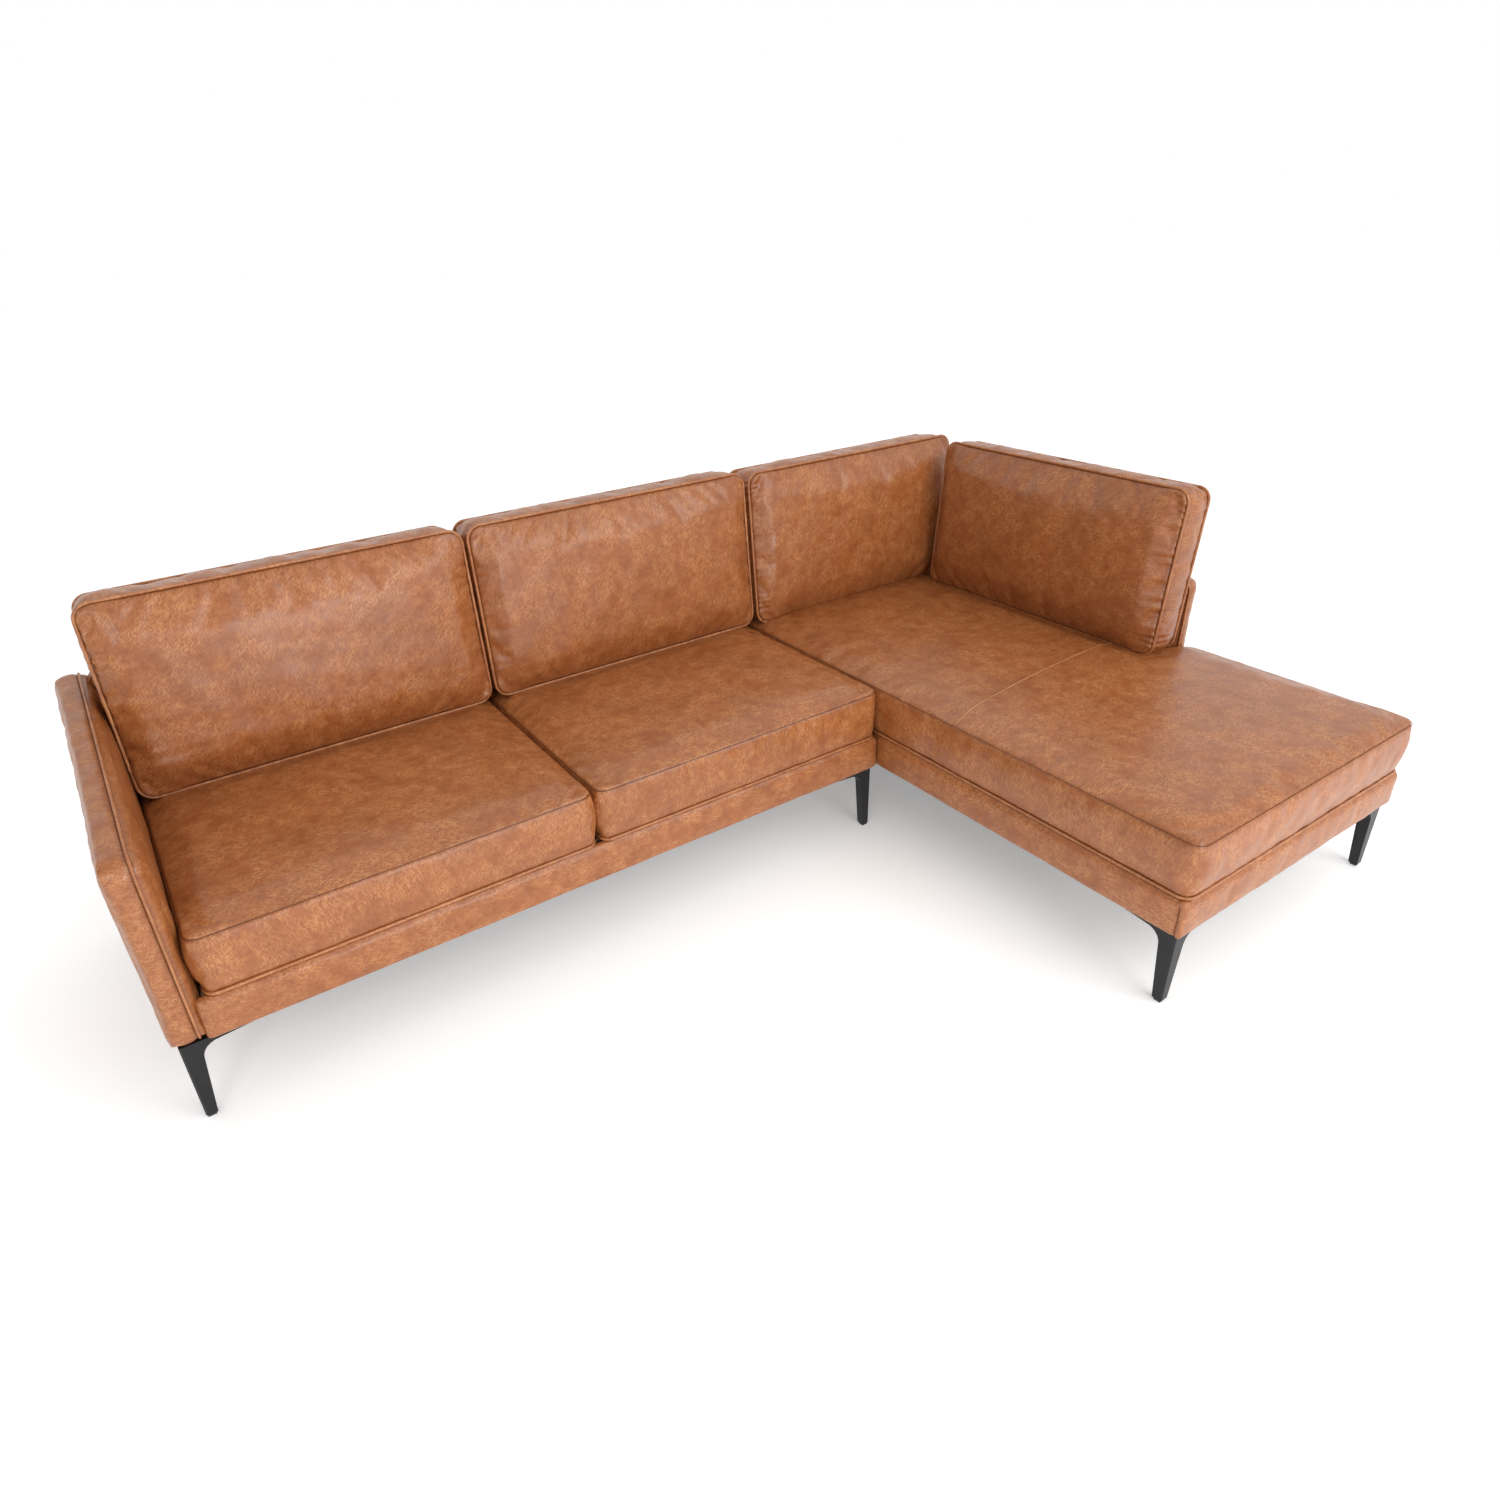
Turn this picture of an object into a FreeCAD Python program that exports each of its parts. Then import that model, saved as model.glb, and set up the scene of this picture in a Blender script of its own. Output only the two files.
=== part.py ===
import FreeCAD, Part
import Sketcher
import math
import os

# A corner sofa: a two-seat unit with a slim padded arm on the left and an open-ended chaise unit on
# the right. X runs along the back, Y runs from the front to the back, Z is up. The origin lies on the
# floor in the middle of the whole footprint.

SIZES = {
    # the two units
    "seat_pitch": 848,         # width of one seat of the two-seat unit
    "chaise_width": 884,       # outer width of the chaise unit
    "unit_gap": 4,             # gap between the two units
    "unit_depth": 800,         # depth of the two-seat unit
    "chaise_reach": 915,       # how far the chaise stands out in front of the two-seat unit
    "side_back_reach": 309,    # how far the chaise's side back stands out in front of that unit
    # heights
    "leg_rise": 190,           # underside of the base above the floor
    "base_rise": 93,           # height of the upholstered base
    "wall_low": 428,           # height of the arm's front above the underside of the base
    "wall_high": 506,          # height of the back walls above the underside of the base
    # the padded walls: inner pad, timber frame with a boxing strip round it, outer pad
    "inner_pad": 26,           # padding of a wall on the seat's side
    "frame_thick": 40,         # timber frame of the arm and of the back walls
    "side_pad": 16,            # padding of the side back on the seat's side
    "side_frame_thick": 31,    # timber frame of the side back
    "outer_pad": 12,           # padding of a wall on its outside
    "strip_thick": 12,         # padded boxing strip round a wall's frame
    "seam_step": 2,            # how far the boxing strip lies inside the pads' outline
    "wall_corner": 28,         # rounding of a wall's corners
    "pad_bevel": 8,            # bevelled rim of an inner pad
    "outer_bevel": 5,          # bevelled rim of an outer pad
    "post_width": 70,          # timber left round the openings of a wall's frame
    "bay_pitch": 340,          # largest distance between two posts of a wall's frame
    # the base
    "band_thick": 14,          # padded leather band on the rails
    "band_lap": 28,            # how far the band laps over the top of a rail
    "band_lap_rise": 12,       # thickness of that lap
    "rail_thick": 36,          # timber rails
    "brace_drop": 30,          # how far the cross braces lie below the webbing
    "strap_width": 60,         # elastic webbing
    "strap_thick": 2,
    "strap_gap": 34,           # least gap between two straps
    "strap_lap": 18,           # how far a strap laps over its rail
    "dust_cloth": 2,           # dust cloth under the base
    "dust_lap": 6,             # how far the dust cloth laps under a rail
    # the cushions
    "seat_edge": 137,          # height of a seat cushion at its edge seam
    "seat_crown": 24,          # how far its middle stands above the edge seam
    "back_height": 449,        # height of a back cushion
    "back_edge": 112,          # boxing width of the three back cushions
    "side_edge": 98,           # boxing width of the side cushion
    "side_clear": 97,          # room between the side cushion and the boxing of the cushion behind it
    "side_set_back": 16,       # front end of the side cushion in front of the end of the side back
    "face_crown": 26,          # how far a back cushion's front face swells
    "rear_crown": 22,          # how far its rear face swells
    "lean_degrees": 5,         # how far the back cushions lean back
    "side_swell": 5,           # how far a cushion's sides swell between their seams
    "corner_draw": 16,         # how far a cushion's ends are drawn in
    "end_run": 24,             # length over which they are drawn in
    "wadding": 14,             # least wadding between a cushion's leather and its foam core
    "cushion_gap": 3,          # gap between two cushions
    "rest_gap": 0.4,           # clearance between cushions and what they rest on
    # the cast legs
    "leg_inset": 12,           # outer faces of a leg behind the faces of the base
    "leg_foot": 22,            # width of the leg at its foot
    "leg_neck": 38,            # width of the leg where its arms begin
    "leg_arm": 142,            # length of the arms under the rails
    "leg_arm_deep": 13,        # depth of an arm where it leaves the column
    "leg_tip": 4,              # depth of an arm at its tip
    "leg_curve": 34,           # inner curve between the column and an arm
    "leg_edge": 3,             # bevelled outer edge of the column
    "foot_chamfer": 3,
    "glide_rise": 4,           # square plastic glide under a leg
    "glide_wide": 16,
    # screws
    "screw_reach": 100,        # screw of a leg's arm from the outer corner
    "screw_wide": 5,           # width of a screw's shank across its corners
    "screw_head": 9.5,         # width of its six-sided head across the corners
    "head_rise": 4,
    "screw_depth": 35,         # how far a screw goes into the timber
    "screw_seat": 4,           # metal left between a screw's head and the timber
    "screw_play": 0.4,         # how much wider a hole through metal is
    "pilot_play": 0.04,        # how much wider a pilot hole in timber is
    # the connectors between the two units
    "hook_wide": 50,           # width of a hook's tongue
    "plate_thick": 3,
    "plate_play": 1,           # gap between the connectors and the dust cloths
    "hook_play": 0.5,          # play of the tongue in its receiver
    "ear_wide": 20,            # screw ears on both sides of a receiver
    "hook_screw_shift": 14,    # screws of a hook, each side of its middle
    "hook_front": 225,         # front connector behind the front of the two-seat unit
    "hook_rear": 200,          # rear connector in front of the back walls
}

doc = FreeCAD.newDocument("corner_sofa")
sheet = doc.addObject("Spreadsheet::Sheet", "Sizes")


class Length:
    """A size that keeps its number together with the expression that gives it."""

    def __init__(self, number, text):
        self.number = float(number)
        self.text = text

    def __add__(self, other):
        return joined(self, "+", other, self.number + float(other))

    def __radd__(self, other):
        return joined(other, "+", self, float(other) + self.number)

    def __sub__(self, other):
        return joined(self, "-", other, self.number - float(other))

    def __rsub__(self, other):
        return joined(other, "-", self, float(other) - self.number)

    def __mul__(self, other):
        return joined(self, "*", other, self.number * float(other))

    def __rmul__(self, other):
        return joined(other, "*", self, float(other) * self.number)

    def __truediv__(self, other):
        return joined(self, "/", other, self.number / float(other))

    def __neg__(self):
        return joined(0, "-", self, -self.number)

    def __float__(self):
        return self.number


def text_of(value):
    return value.text if isinstance(value, Length) else repr(float(value))


def joined(left, sign, right, number):
    return Length(number, "(%s %s %s)" % (text_of(left), sign, text_of(right)))


class Sizes:
    """The cells of the sheet, each under its own name."""


def fill_sheet():
    """Write each size in a cell of its own, with its name as the alias."""
    sizes = Sizes()
    for row, (name, number) in enumerate(SIZES.items(), start=1):
        sheet.set("A%d" % row, name)
        sheet.set("B%d" % row, str(number))
        sheet.setAlias("B%d" % row, name)
        setattr(sizes, name, Length(number, "Sizes." + name))
    doc.recompute()
    return sizes


s = fill_sheet()

# places along X
wall = s.inner_pad + s.frame_thick + s.outer_pad
side_wall = s.side_pad + s.side_frame_thick + s.outer_pad
right_face = (wall + 2 * s.seat_pitch + s.unit_gap + s.chaise_width) / 2
left_face = -right_face
arm_face = left_face + wall
sofa_end = arm_face + 2 * s.seat_pitch
chaise_start = sofa_end + s.unit_gap
side_face = right_face - side_wall
# places along Y
back_face = (s.unit_depth + s.chaise_reach) / 2
chaise_front = -back_face
sofa_front = back_face - s.unit_depth
wall_face = back_face - wall
side_front = sofa_front - s.side_back_reach
# places along Z
base_top = s.leg_rise + s.base_rise
rail_rise = s.base_rise - s.band_lap_rise
rail_top = s.leg_rise + rail_rise
deck_low = rail_top + 2 * s.strap_thick


def bind(item, name, value):
    item.setExpression(name, text_of(value))


def place(item, x, y, z, turn=None):
    """Put an object at a bound place, turned about the upright axis by some degrees."""
    if turn is not None:
        item.Placement.Rotation = FreeCAD.Rotation(FreeCAD.Vector(0, 0, 1), turn)
    for axis, value in zip("xyz", (x, y, z)):
        bind(item, "Placement.Base." + axis, value)


def block(label, x, y, z, length, width, height):
    """A plain board or sheet."""
    item = doc.addObject("Part::Box", label)
    item.Label = label
    bind(item, "Length", length)
    bind(item, "Width", width)
    bind(item, "Height", height)
    place(item, x, y, z)
    return item


def rod(label, x, y, z, across, height):
    """An upright six-sided rod on the middle of its lower face, which stands in for a thread too."""
    item = doc.addObject("Part::Prism", label)
    item.Polygon = 6
    bind(item, "Circumradius", across / 2)
    bind(item, "Height", height)
    place(item, x, y, z)
    return item


def group(label, items):
    """Separate solids that share one node."""
    item = doc.addObject("Part::Compound", label)
    item.Label = label
    item.Links = items
    return item


def drilled(label, item, holes):
    """An object with a pilot hole for each screw that goes up into it."""
    pilot = s.screw_wide + 2 * s.pilot_play
    rods = [rod(label + "_pilot", x, y, s.leg_rise - 1, pilot, s.screw_depth + 1) for x, y in holes]
    cut = doc.addObject("Part::Cut", label)
    item.Label = label + "_blank"
    cut.Label = label
    cut.Base = item
    cut.Tool = group(label + "_pilots", rods)
    return cut


def plane_of(body, role):
    return next(item for item in body.Origin.OriginFeatures if item.Role == role)


def pin(sketch, line, end, x, y):
    """Hold a point of a sketch at a bound place that isn't negative."""
    for kind, axis, value in (("DistanceX", -2, x), ("DistanceY", -1, y)):
        if float(value) == 0:
            sketch.addConstraint(Sketcher.Constraint("PointOnObject", line, end, axis))
        else:
            index = sketch.addConstraint(Sketcher.Constraint(kind, -1, 1, line, end, float(value)))
            bind(sketch, "Constraints[%d]" % index, value)


def new_sketch(body, name, role):
    sketch = body.newObject("Sketcher::SketchObject", name)
    sketch.AttachmentSupport = (plane_of(body, role), [""])
    sketch.MapMode = "FlatFace"
    return sketch


def add_outline(sketch, points):
    """A closed run of straight lines with every corner held."""
    first = sketch.GeometryCount
    spots = [FreeCAD.Vector(float(x), float(y), 0) for x, y in points]
    count = len(spots)
    for index in range(count):
        sketch.addGeometry(Part.LineSegment(spots[index], spots[(index + 1) % count]))
    for index in range(count):
        following = first + (index + 1) % count
        sketch.addConstraint(Sketcher.Constraint("Coincident", first + index, 2, following, 1))
    for index, (x, y) in enumerate(points):
        pin(sketch, first + index, 1, x, y)


def add_circle(sketch, x, y, across):
    index = sketch.addGeometry(Part.Circle(FreeCAD.Vector(float(x), float(y), 0), FreeCAD.Vector(0, 0, 1),
                                           float(across) / 2))
    pin(sketch, index, 3, x, y)
    held = sketch.addConstraint(Sketcher.Constraint("Diameter", index, float(across)))
    bind(sketch, "Constraints[%d]" % held, across)


def pad(body, name, role, points, depth, reverse=False):
    sketch = new_sketch(body, name + "_outline", role)
    add_outline(sketch, points)
    feature = body.newObject("PartDesign::Pad", name)
    feature.Profile = sketch
    feature.Reversed = reverse
    bind(feature, "Length", depth)
    doc.recompute()
    return feature


def pocket(body, name, sketch, reverse, depth=None):
    """Cut a sketch out of a body, right through or to a bound depth, and see that it cuts."""
    before = body.Shape.Volume
    feature = body.newObject("PartDesign::Pocket", name)
    feature.Profile = sketch
    feature.Reversed = reverse
    if depth is None:
        feature.Type = "ThroughAll"
    else:
        bind(feature, "Length", depth)
    doc.recompute()
    if body.Shape.Volume >= before - 1:
        raise RuntimeError(body.Label + ": " + name + " cuts nothing")
    return feature


def rounded(body, name, edges, radius, kind="PartDesign::Fillet"):
    base = body.Tip
    feature = body.newObject(kind, name)
    feature.Base = (base, edges)
    bind(feature, "Radius" if kind.endswith("Fillet") else "Size", radius)
    doc.recompute()
    return feature


def edges_at(shape, test):
    """Names of the edges whose box passes a test."""
    return ["Edge%d" % index for index, edge in enumerate(shape.Edges, start=1) if test(edge.BoundBox)]


def near(a, b):
    return abs(float(a) - float(b)) < 0.01


def new_body(label):
    body = doc.addObject("PartDesign::Body", label)
    body.Label = label
    return body


# The timber rails, the webbing, the decks, the bands and the dust cloths of the two bases.

def arm_screws(corner):
    """Places of a leg's two screws, from its outer corner and the directions of its arms."""
    x, y, along_x, along_y = corner
    middle = s.leg_foot / 2
    return [(x + along_x * s.screw_reach, y + along_y * middle),
            (x + along_x * middle, y + along_y * s.screw_reach)]


LEG_CORNERS = {
    "leg_sofa_front_left": (left_face + s.leg_inset, sofa_front + s.leg_inset, 1, 1),
    "leg_sofa_front_right": (sofa_end - s.leg_inset, sofa_front + s.leg_inset, -1, 1),
    "leg_sofa_rear_left": (left_face + s.leg_inset, back_face - s.leg_inset, 1, -1),
    "leg_sofa_rear_right": (sofa_end - s.leg_inset, back_face - s.leg_inset, -1, -1),
    "leg_chaise_front_left": (chaise_start + s.leg_inset, chaise_front + s.leg_inset, 1, 1),
    "leg_chaise_front_right": (right_face - s.leg_inset, chaise_front + s.leg_inset, -1, 1),
    "leg_chaise_rear_left": (chaise_start + s.leg_inset, back_face - s.leg_inset, 1, -1),
    "leg_chaise_rear_right": (right_face - s.leg_inset, back_face - s.leg_inset, -1, -1),
}
SCREWS = {name: arm_screws(corner) for name, corner in LEG_CORNERS.items()}
CONNECTOR_PLACES = (sofa_front + s.hook_front, wall_face - s.hook_rear)


def connector_screws(x, shift):
    """Places of the screws of both connectors on the line x, each side of a connector's middle."""
    return [(x, y + side * shift) for y in CONNECTOR_PLACES for side in (-1, 1)]


PLATE_RUN = s.rail_thick - s.dust_lap - s.plate_play
RECEIVER_HALF = s.hook_wide / 2 + s.hook_play + s.plate_thick + s.ear_wide
RECEIVER_SCREWS = connector_screws(sofa_end - s.band_thick - PLATE_RUN / 2, RECEIVER_HALF - s.ear_wide / 2)
HOOK_SCREWS = connector_screws(chaise_start + s.band_thick + PLATE_RUN / 2, s.hook_screw_shift)


def straps(label, low, high, across_low, across_high, z, along_x):
    """A row of webbing straps from low to high, spread evenly between the other two places."""
    room = across_high - across_low
    count = int((float(room) + float(s.strap_gap)) // float(s.strap_width + s.strap_gap))
    gap = (room - count * s.strap_width) / (count + 1)
    items = []
    for index in range(count):
        start = across_low + gap + index * (s.strap_width + gap)
        if along_x:
            items.append(block(label + "_strap", low, start, z, high - low, s.strap_width, s.strap_thick))
        else:
            items.append(block(label + "_strap", start, low, z, s.strap_width, high - low, s.strap_thick))
    return items


def webbing(label, x_low, x_high, y_low, y_high):
    """Cross straps on the rails with the long straps on top of them."""
    lap = s.strap_lap
    cross = straps(label, x_low - lap, x_high + lap, y_low, y_high, rail_top, True)
    long_straps = straps(label, y_low - lap, y_high + lap, x_low, x_high, rail_top + s.strap_thick, False)
    return group(label, cross + long_straps)


def band(label, length, x, y, turn):
    """A padded leather band: an outer face with a rounded top edge that laps over the rail.

    With no turn it runs from y towards the front, with its outer face towards -X.
    """
    body = new_body(label)
    points = [(0, 0), (s.band_thick, 0), (s.band_thick, rail_rise), (s.band_lap, rail_rise),
              (s.band_lap, s.base_rise), (0, s.base_rise)]
    strip = pad(body, "Band", "XZ_Plane", points, length)
    top_edge = edges_at(strip.Shape, lambda box: box.XMax < 0.01 and box.ZMin > float(s.base_rise) - 0.01)
    rounded(body, "TopEdge", top_edge, s.band_lap_rise - 1)
    place(body, x, y, s.leg_rise, turn)
    return body


def sofa_base():
    """Base of the two-seat unit, between the arm and its open end."""
    x_low, x_high = arm_face, sofa_end - s.band_thick
    y_low, y_high = sofa_front + s.band_thick, wall_face
    inner_low, inner_high = x_low + s.rail_thick, x_high - s.rail_thick
    seat_middle = arm_face + s.seat_pitch
    brace_rise = rail_rise - s.brace_drop
    front = block("front_board", x_low, y_low, s.leg_rise, x_high - x_low, s.rail_thick, rail_rise)
    arm_end = block("arm_end_board", x_low, y_low + s.rail_thick, s.leg_rise, s.rail_thick,
                    y_high - y_low - 2 * s.rail_thick, rail_rise)
    brace = block("centre_board", seat_middle - s.rail_thick / 2, y_low + s.rail_thick, s.leg_rise,
                  s.rail_thick, y_high - y_low - 2 * s.rail_thick, brace_rise)
    open_end = block("open_end_board", inner_high, y_low + s.rail_thick, s.leg_rise, s.rail_thick,
                     y_high - y_low - s.rail_thick, rail_rise)
    end_holes = [SCREWS["leg_sofa_front_right"][1], SCREWS["leg_sofa_rear_right"][1]]
    dust_side = s.rail_thick - s.dust_lap
    return [
        drilled("sofa_front_rail", front, [SCREWS["leg_sofa_front_left"][0], SCREWS["leg_sofa_front_right"][0]]),
        block("sofa_rear_rail", x_low, y_high - s.rail_thick, s.leg_rise, inner_high - x_low, s.rail_thick,
              rail_rise),
        group("sofa_inner_rails", [arm_end, brace]),
        drilled("sofa_end_rail", open_end, end_holes + RECEIVER_SCREWS),
        webbing("sofa_webbing", inner_low, inner_high, y_low + s.rail_thick, y_high - s.rail_thick),
        block("sofa_deck_pad", x_low, sofa_front + s.band_lap, deck_low, sofa_end - s.band_lap - x_low,
              y_high - sofa_front - s.band_lap, base_top - deck_low),
        block("sofa_dust_cloth", x_low + dust_side, y_low + dust_side, s.leg_rise - s.dust_cloth,
              x_high - x_low - 2 * dust_side, y_high - y_low - 2 * dust_side, s.dust_cloth),
        band("sofa_front_band", sofa_end - arm_face, arm_face, sofa_front, 90),
        band("sofa_end_band", wall_face - sofa_front - s.band_lap, sofa_end, sofa_front + s.band_lap, 180),
    ]


def chaise_base():
    """Base of the chaise, as long as the whole unit up to its back wall."""
    x_low, x_high = chaise_start + s.band_thick, right_face - s.band_thick
    y_low, y_high = chaise_front + s.band_thick, wall_face
    side_start, side_run = y_low + s.rail_thick, y_high - y_low - s.rail_thick
    front = block("chaise_front_board", x_low, y_low, s.leg_rise, x_high - x_low, s.rail_thick, rail_rise)
    left = block("chaise_left_board", x_low, side_start, s.leg_rise, s.rail_thick, side_run, rail_rise)
    right = block("chaise_right_board", x_high - s.rail_thick, side_start, s.leg_rise, s.rail_thick,
                  side_run, rail_rise)
    inner_low, inner_high = x_low + s.rail_thick, x_high - s.rail_thick
    braces = [block("chaise_brace", inner_low, side_start + share * side_run, s.leg_rise,
                    inner_high - inner_low, s.rail_thick, rail_rise - s.brace_drop)
              for share in (1 / 3, 2 / 3)]
    rear = block("chaise_rear_board", inner_low, y_high - s.rail_thick, s.leg_rise, inner_high - inner_low,
                 s.rail_thick, rail_rise)
    left_holes = [SCREWS["leg_chaise_front_left"][1], SCREWS["leg_chaise_rear_left"][1]]
    right_holes = [SCREWS["leg_chaise_front_right"][1], SCREWS["leg_chaise_rear_right"][1]]
    dust_side = s.rail_thick - s.dust_lap
    side_band = wall_face - chaise_front - s.band_lap
    return [
        drilled("chaise_front_rail", front,
                [SCREWS["leg_chaise_front_left"][0], SCREWS["leg_chaise_front_right"][0]]),
        drilled("chaise_left_rail", left, left_holes + HOOK_SCREWS),
        drilled("chaise_right_rail", right, right_holes),
        group("chaise_cross_rails", braces + [rear]),
        webbing("chaise_webbing", inner_low, inner_high, side_start, y_high - s.rail_thick),
        block("chaise_deck_pad", chaise_start + s.band_lap, chaise_front + s.band_lap, deck_low,
              s.chaise_width - 2 * s.band_lap, y_high - chaise_front - s.band_lap, base_top - deck_low),
        block("chaise_dust_cloth", x_low + dust_side, y_low + dust_side, s.leg_rise - s.dust_cloth,
              x_high - x_low - 2 * dust_side, y_high - y_low - 2 * dust_side, s.dust_cloth),
        band("chaise_front_band", s.chaise_width, chaise_start, chaise_front, 90),
        band("chaise_left_band", side_band, chaise_start, wall_face, 0),
        band("chaise_right_band", side_band, right_face, chaise_front + s.band_lap, 180),
    ]


# The padded walls. Each is a timber frame with a boxing strip round it and a pad on each side.

class WallShape:
    """Outline of a wall: its run, the height at its start and the height at its end."""

    def __init__(self, run, start_rise, end_rise):
        self.run = run
        self.start_rise = start_rise
        self.end_rise = end_rise

    def outline(self, inset):
        """The four corners, moved in by one value on every side."""
        slope = (self.end_rise - self.start_rise) / self.run
        low, high = inset, self.run - inset
        return [(low, inset), (high, inset), (high, self.end_rise - inset - slope * inset),
                (low, self.start_rise - inset + slope * inset)]


def wall_pad(label, shape, role, thick, rim_side, rim):
    """A pad with rounded corners and a bevelled rim on the side away from the frame."""
    body = new_body(label)
    depth_axis = "X" if role == "YZ_Plane" else "Y"
    layer = pad(body, "Pad", role, shape.outline(0), thick)
    corners = edges_at(layer.Shape, lambda box: near(getattr(box, depth_axis + "Length"), thick))
    rounded(body, "Corners", corners, s.wall_corner)
    box = body.Shape.BoundBox
    side = getattr(box, depth_axis + ("Max" if rim_side > 0 else "Min"))
    rims = edges_at(body.Shape, lambda edge: near(getattr(edge, depth_axis + "Min"), side)
                    and near(getattr(edge, depth_axis + "Max"), side))
    rounded(body, "Rim", rims, rim, "PartDesign::Chamfer")
    return body


def boxing_strip(label, shape, role, thick):
    """The strip between the two pads, a ring round the frame."""
    body = new_body(label)
    depth_axis = "X" if role == "YZ_Plane" else "Y"
    layer = pad(body, "Strip", role, shape.outline(s.seam_step), thick)
    corners = edges_at(layer.Shape, lambda box: near(getattr(box, depth_axis + "Length"), thick))
    rounded(body, "Corners", corners, s.wall_corner - s.seam_step)
    sketch = new_sketch(body, "FrameRoom_outline", role)
    add_outline(sketch, shape.outline(s.seam_step + s.strip_thick))
    pocket(body, "FrameRoom", sketch, True)
    return body


def wall_frame(label, shape, role, thick):
    """A timber frame with one opening for each bay between its posts."""
    body = new_body(label)
    inset = s.seam_step + s.strip_thick
    pad(body, "Board", role, shape.outline(inset), thick)
    bays = max(1, int(math.ceil(float(shape.run) / float(s.bay_pitch))))
    bay = (shape.run - 2 * inset - (bays + 1) * s.post_width) / bays
    slope = (shape.end_rise - shape.start_rise) / shape.run
    sketch = new_sketch(body, "Bays_outline", role)
    for index in range(bays):
        low = inset + s.post_width + index * (bay + s.post_width)
        high = low + bay
        top_low = shape.start_rise + slope * low - inset - s.post_width
        top_high = shape.start_rise + slope * high - inset - s.post_width
        floor = inset + s.post_width
        add_outline(sketch, [(low, floor), (high, floor), (high, top_high), (low, top_low)])
    pocket(body, "Bays", sketch, True)
    return body


def side_wall_layers(prefix, shape, x_outer, facing, y, z, pads, frame_thick, holes):
    """An arm or side back in four pieces. Facing is 1 where the seat lies towards +X."""
    inner, outer = pads
    layers = [
        (wall_pad(prefix + "_outer_pad", shape, "YZ_Plane", outer, -facing, s.outer_bevel), 0, outer),
        (boxing_strip(prefix + "_boxing_strip", shape, "YZ_Plane", frame_thick), outer, frame_thick),
        (wall_frame(prefix + "_frame", shape, "YZ_Plane", frame_thick), outer, frame_thick),
        (wall_pad(prefix + "_inner_pad", shape, "YZ_Plane", inner, facing, s.pad_bevel),
         outer + frame_thick, inner),
    ]
    made = []
    for body, start, thick in layers:
        x = x_outer + start if facing > 0 else x_outer - start - thick
        place(body, x, y, z)
        screwed = holes and not body.Label.endswith("_pad")
        made.append(drilled(body.Label, body, holes) if screwed else body)
    return made


def back_wall_layers(prefix, shape, x, holes):
    """A back wall in four pieces, with its outside on the back face."""
    layers = [
        (wall_pad(prefix + "_outer_pad", shape, "XZ_Plane", s.outer_pad, 1, s.outer_bevel), 0),
        (boxing_strip(prefix + "_boxing_strip", shape, "XZ_Plane", s.frame_thick), s.outer_pad),
        (wall_frame(prefix + "_frame", shape, "XZ_Plane", s.frame_thick), s.outer_pad),
        (wall_pad(prefix + "_inner_pad", shape, "XZ_Plane", s.inner_pad, -1, s.pad_bevel),
         s.outer_pad + s.frame_thick),
    ]
    made = []
    for body, start in layers:
        place(body, x, back_face - start, s.leg_rise)
        made.append(body if body.Label.endswith("_pad") else drilled(body.Label, body, holes))
    return made


def walls():
    arm = WallShape(s.unit_depth, s.wall_low, s.wall_high)
    sofa_back = WallShape(2 * s.seat_pitch, s.wall_high, s.wall_high)
    chaise_back = WallShape(s.chaise_width, s.wall_high, s.wall_high)
    side_run = wall_face - side_front
    side_back = WallShape(side_run, s.wall_low - s.base_rise, s.wall_high - s.base_rise)
    pads = (s.inner_pad, s.outer_pad)
    side_pads = (s.side_pad, s.outer_pad)
    arm_holes = [SCREWS["leg_sofa_front_left"][1], SCREWS["leg_sofa_rear_left"][1]]
    sofa_holes = [SCREWS["leg_sofa_rear_left"][0], SCREWS["leg_sofa_rear_right"][0]]
    chaise_holes = [SCREWS["leg_chaise_rear_left"][0], SCREWS["leg_chaise_rear_right"][0]]
    return (
        side_wall_layers("arm", arm, left_face, 1, sofa_front, s.leg_rise, pads, s.frame_thick, arm_holes)
        + back_wall_layers("sofa_back", sofa_back, arm_face, sofa_holes)
        + back_wall_layers("chaise_back", chaise_back, chaise_start, chaise_holes)
        + side_wall_layers("side_back", side_back, right_face, -1, side_front, base_top, side_pads,
                           s.side_frame_thick, None)
    )


# The cushions. Each is a leather cover over a foam core, swollen in the middle and drawn in at its
# ends. A cushion lies flat in its own frame: X across, Y along, Z through its thickness.

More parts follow.
